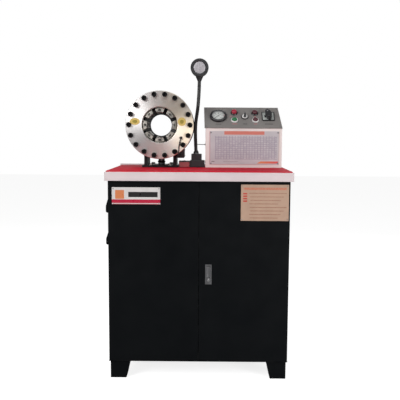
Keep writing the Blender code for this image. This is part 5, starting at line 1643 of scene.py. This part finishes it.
    def rotor(self) -> None:
        """The shaft and the bladed fan that turns with it."""
        low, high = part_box("motor_shaft")
        shaft = Workpiece.turned("rotor_shaft", [
            (0, low.x), (0.0110, low.x), (0.0118, low.x + 0.0008), (0.0118, high.x - 0.0008),
            (0.0110, high.x), (0, high.x)], 40)
        self.along_motor(shaft).done("motor_shaft", ZINC_STEEL, "motor_shaft")
        back, front = 0.262, 0.272
        fan = Workpiece.turned("cooling_fan", [
            (0.0116, back), (self.fan_radius - 0.0006, back), (self.fan_radius, back + 0.0006),
            (self.fan_radius - 0.0006, back + 0.0018), (0.0200, back + 0.0024), (0.0176, front),
            (0.0116, front)], 72, ring=True)
        blade = Workpiece.block("blade", (0.0180, -0.0008, back + 0.0014),
                                (self.fan_radius - 0.002, 0.0008, front))
        fan.gather(self.spokes(blade.bevel(0.0003, 1), self.blades))
        self.along_motor(fan).done("motor_shaft", BLACK_PLASTIC)

    def fan_cover(self) -> None:
        """The pressed cover with its grille."""
        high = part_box("fan_cover")[1]
        outer, wall = self.fin_radii[1] - 0.0020, 0.0014
        cover = Workpiece.turned("fan_grille", [
            (outer, 0.2395), (outer, high.x - 0.0080), (outer - 0.0024, high.x - 0.0024),
            (outer - 0.0080, high.x), (0.0120, high.x), (0.0120, high.x - wall),
            (outer - 0.0082, high.x - wall), (outer - 0.0036, high.x - 0.0036),
            (outer - wall, high.x - 0.0084), (outer - wall, 0.2395)], 96, ring=True)
        slot = Workpiece.block("slot", (0.0200, -0.0017, 0.280), (0.0620, 0.0017, 0.310))
        cover.cut(self.spokes(slot, self.grille_slots))
        self.along_motor(cover).done("root", MOTOR_GREY, "fan_cover")

    def pump(self) -> None:
        """The gear pump with its cap screws and suction spigot."""
        Workpiece.refine("gear_pump", "pump", "root", BLACK_STEEL, 0.0010)
        low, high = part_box("pump")
        places = [(low.x, y, z) for y in ends(low.y, high.y, 0.012) for z in ends(low.z, high.z, 0.012)]
        Fasteners.spread("pump_screw", Fasteners.head(Screw.SOCKET, 0.0062, 0.0050), places,
                         Facing.LEFT, "root", BOLT_STEEL)
        spigot = Workpiece.turned("suction_spigot", [(0, -0.0352), (0.0180, -0.0352), (0.0180, -0.0336),
                                                     (0.0140, -0.0330), (0.0140, -0.0276), (0, -0.0276)], 40)
        spigot.stand((0, self.motor_y, self.motor_z - 0.020), Facing.RIGHT).done("root", ZINC_STEEL)

    def valves(self) -> None:
        """The drilled manifold with a solenoid at each end."""
        left, right = self.manifold
        block = Workpiece.block("manifold_block", (left, 0.020, 0.3003),
                                (right, 0.100, 0.360)).bevel(0.0014, 2)
        block.done("root", ZINC_STEEL, "valve_block")
        for side, x, sign, facing in (("left", left, -1, Facing.LEFT), ("right", right, 1, Facing.RIGHT)):
            coil = Workpiece.outline(f"{side}_coil", rounded(0.034, 0.034, 0.006), -0.0003,
                                     0.0390).bevel(0.0012, 2)
            coil.stand((x, *self.coil_place), facing).done("root", GLOSS_BLACK)
            ends = sorted((x + sign * 0.008, x + sign * 0.030))
            plug = Workpiece.block(f"{side}_coil_plug", (ends[0], 0.046, 0.3455), (ends[1], 0.074, 0.3680))
            plug.bevel(0.0025, 3).done("root", BLACK_PLASTIC)
            Fasteners.spread(f"{side}_coil_nut", Fasteners.head(Screw.HEX, 0.0115, 0.0080),
                             [(x + sign * 0.0388, *self.coil_place)], facing, "root", ZINC_STEEL)
        Fasteners.spread("manifold_plug", Fasteners.head(Screw.SOCKET, 0.0072, 0.0036),
                         [(x, 0.020, z) for x in (-0.195, -0.135) for z in (0.316, 0.344)],
                         Facing.FRONT, "root", BOLT_STEEL)

    def hose(self, name: str, route: Sequence[Point], radius: float, facings: tuple[Facing, Facing]) -> None:
        """One hose with a swaged fitting at each end.

        Args:
            name: What it serves.
            route: The places that its middle line passes through.
            radius: Half its outer width.
            facings: Which way the fitting at each end stands off its port.
        """
        Workpiece.tube(f"{name}_hose_cover", smooth_route(route, 60), radius, 8).done("root", HOSE_BLACK,
                                                                                     f"{name}_hose")
        for number, (place, facing) in enumerate(zip((route[0], route[-1]), facings), 1):
            nut = Workpiece.outline(f"{name}_hose_nut_{number}", polygon(1.5 * radius, 6), -0.0014, 0.0110)
            nut.bevel(0.0007, 2).stand(place, facing).done("root", ZINC_STEEL)
            sleeve = Workpiece.outline(f"{name}_hose_sleeve_{number}", polygon(1.36 * radius, 8), 0.0135,
                                       0.0400)
            sleeve.bevel(0.0012, 3).stand(place, facing).done("root", ZINC_STEEL)
            neck = Workpiece.turned(f"{name}_hose_neck_{number}", [
                (0, 0.0100), (1.12 * radius, 0.0100), (1.02 * radius, 0.0118),
                (1.12 * radius, 0.0140), (0, 0.0140)], 40)
            neck.stand(place, facing).done("root", ZINC_STEEL)


# ------------------------------------------------------------------------------ the studio
@dataclass
class Studio:
    """The plain white studio: camera, floor, background and soft lights."""

    place: Point = (0.0209, -2.5909, 0.9587)
    pitch: float = 6.01
    yaw: float = 0.41
    roll: float = 0.33
    lens: float = 56.25
    aim: Point = (0.0, 0.0, 0.85)
    floor_size: float = 24
    floor_glow: float = 0.80
    fill: float = 0.24

    def build(self) -> None:
        """Sets the studio up."""
        self.camera()
        self.floor()
        self.background()
        bpy.context.scene.view_settings.view_transform = "Standard"
        for name, place, size, power in (("left_softbox", (-2.1, -2.4, 2.10), (1.3, 2.0), 74),
                                         ("right_softbox", (2.1, -2.4, 0.70), (1.3, 1.7), 56),
                                         ("top_softbox", (0.0, -0.9, 3.4), (2.4, 1.6), 20),
                                         ("rear_softbox", (0.5, 2.6, 2.2), (2.4, 1.6), 22)):
            self.softbox(name, place, size, power)

    def camera(self) -> None:
        """Places the camera at eye height in front of the machine."""
        bpy.ops.object.camera_add(location=self.place)
        camera = bpy.context.object
        camera.data.lens = self.lens
        turn = (Matrix.Rotation(math.radians(self.yaw), 4, "Z")
                @ Matrix.Rotation(math.radians(90 - self.pitch), 4, "X")
                @ Matrix.Rotation(math.radians(self.roll), 4, "Z"))
        camera.matrix_world = Matrix.Translation(self.place) @ turn
        bpy.context.scene.camera = camera

    def floor(self) -> None:
        """A pale floor that keeps a soft shadow."""
        Workpiece.clear_bench()
        bpy.ops.mesh.primitive_plane_add(size=self.floor_size)
        ground = bpy.context.object
        ground.name = "studio_floor"
        graph = Graph("studio_floor")
        seen = graph.put("ShaderNodeLightPath").outputs["Is Camera Ray"]
        graph.set(Base_Color=graph.mix(seen, (0.30, 0.30, 0.30), (0.60, 0.60, 0.60)), Roughness=1.0,
                  Specular_IOR_Level=0.0, Emission_Color=(1.0, 1.0, 1.0, 1.0),
                  Emission_Strength=graph.maths("MULTIPLY", seen, self.floor_glow))
        ground.data.materials.append(graph.material)

    def background(self) -> None:
        """White behind the machine, dimmer where the machine reflects it."""
        world = bpy.data.worlds.new("studio")
        bpy.context.scene.world = world
        world.use_nodes = True
        nodes, links = world.node_tree.nodes, world.node_tree.links
        ground = nodes["Background"]
        path = nodes.new("ShaderNodeLightPath")
        level = nodes.new("ShaderNodeMapRange")
        level.inputs["To Min"].default_value = self.fill
        level.inputs["To Max"].default_value = 1.0
        links.new(path.outputs["Is Camera Ray"], level.inputs["Value"])
        links.new(level.outputs[0], ground.inputs["Strength"])
        ground.inputs["Color"].default_value = (1.0, 1.0, 1.0, 1.0)

    def softbox(self, name: str, place: Point, size: Point, power: float) -> None:
        """A rectangular light that faces the machine's middle."""
        bpy.ops.object.light_add(type="AREA", location=place)
        lamp = bpy.context.object
        lamp.name = name
        lamp.data.shape = "RECTANGLE"
        lamp.data.size, lamp.data.size_y = size
        lamp.data.energy = power
        aim = Vector(self.aim) - Vector(place)
        lamp.matrix_world = Matrix.Translation(place) @ aim.to_track_quat("-Z", "Y").to_matrix().to_4x4()


def dress_the_rest() -> None:
    """Gives each frame node that still shows the finish of its slot."""
    slots = {part["node"]: part["material_slot"] for part in frame["record"]["subparts"]}
    for name, node in frame["nodes"].items():
        node.data.materials.clear()
        node.data.materials.append(BY_SLOT[slots[name]].material())
        if not node.hide_render:
            LOG.info("%s: kept from the frame", name)


def main() -> None:
    """Builds the machine's looks."""
    logging.basicConfig(level=logging.INFO, format="%(name)s: %(message)s")
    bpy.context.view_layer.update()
    for assembly in (Studio(), Cabinet(), Plates(), DoorLock(), CrimpingHead(), ControlBox(), WorkLamp(),
                     PowerPack()):
        LOG.info("building %s", type(assembly).__name__)
        assembly.build()
    dress_the_rest()


if __name__ == "__main__":
    main()
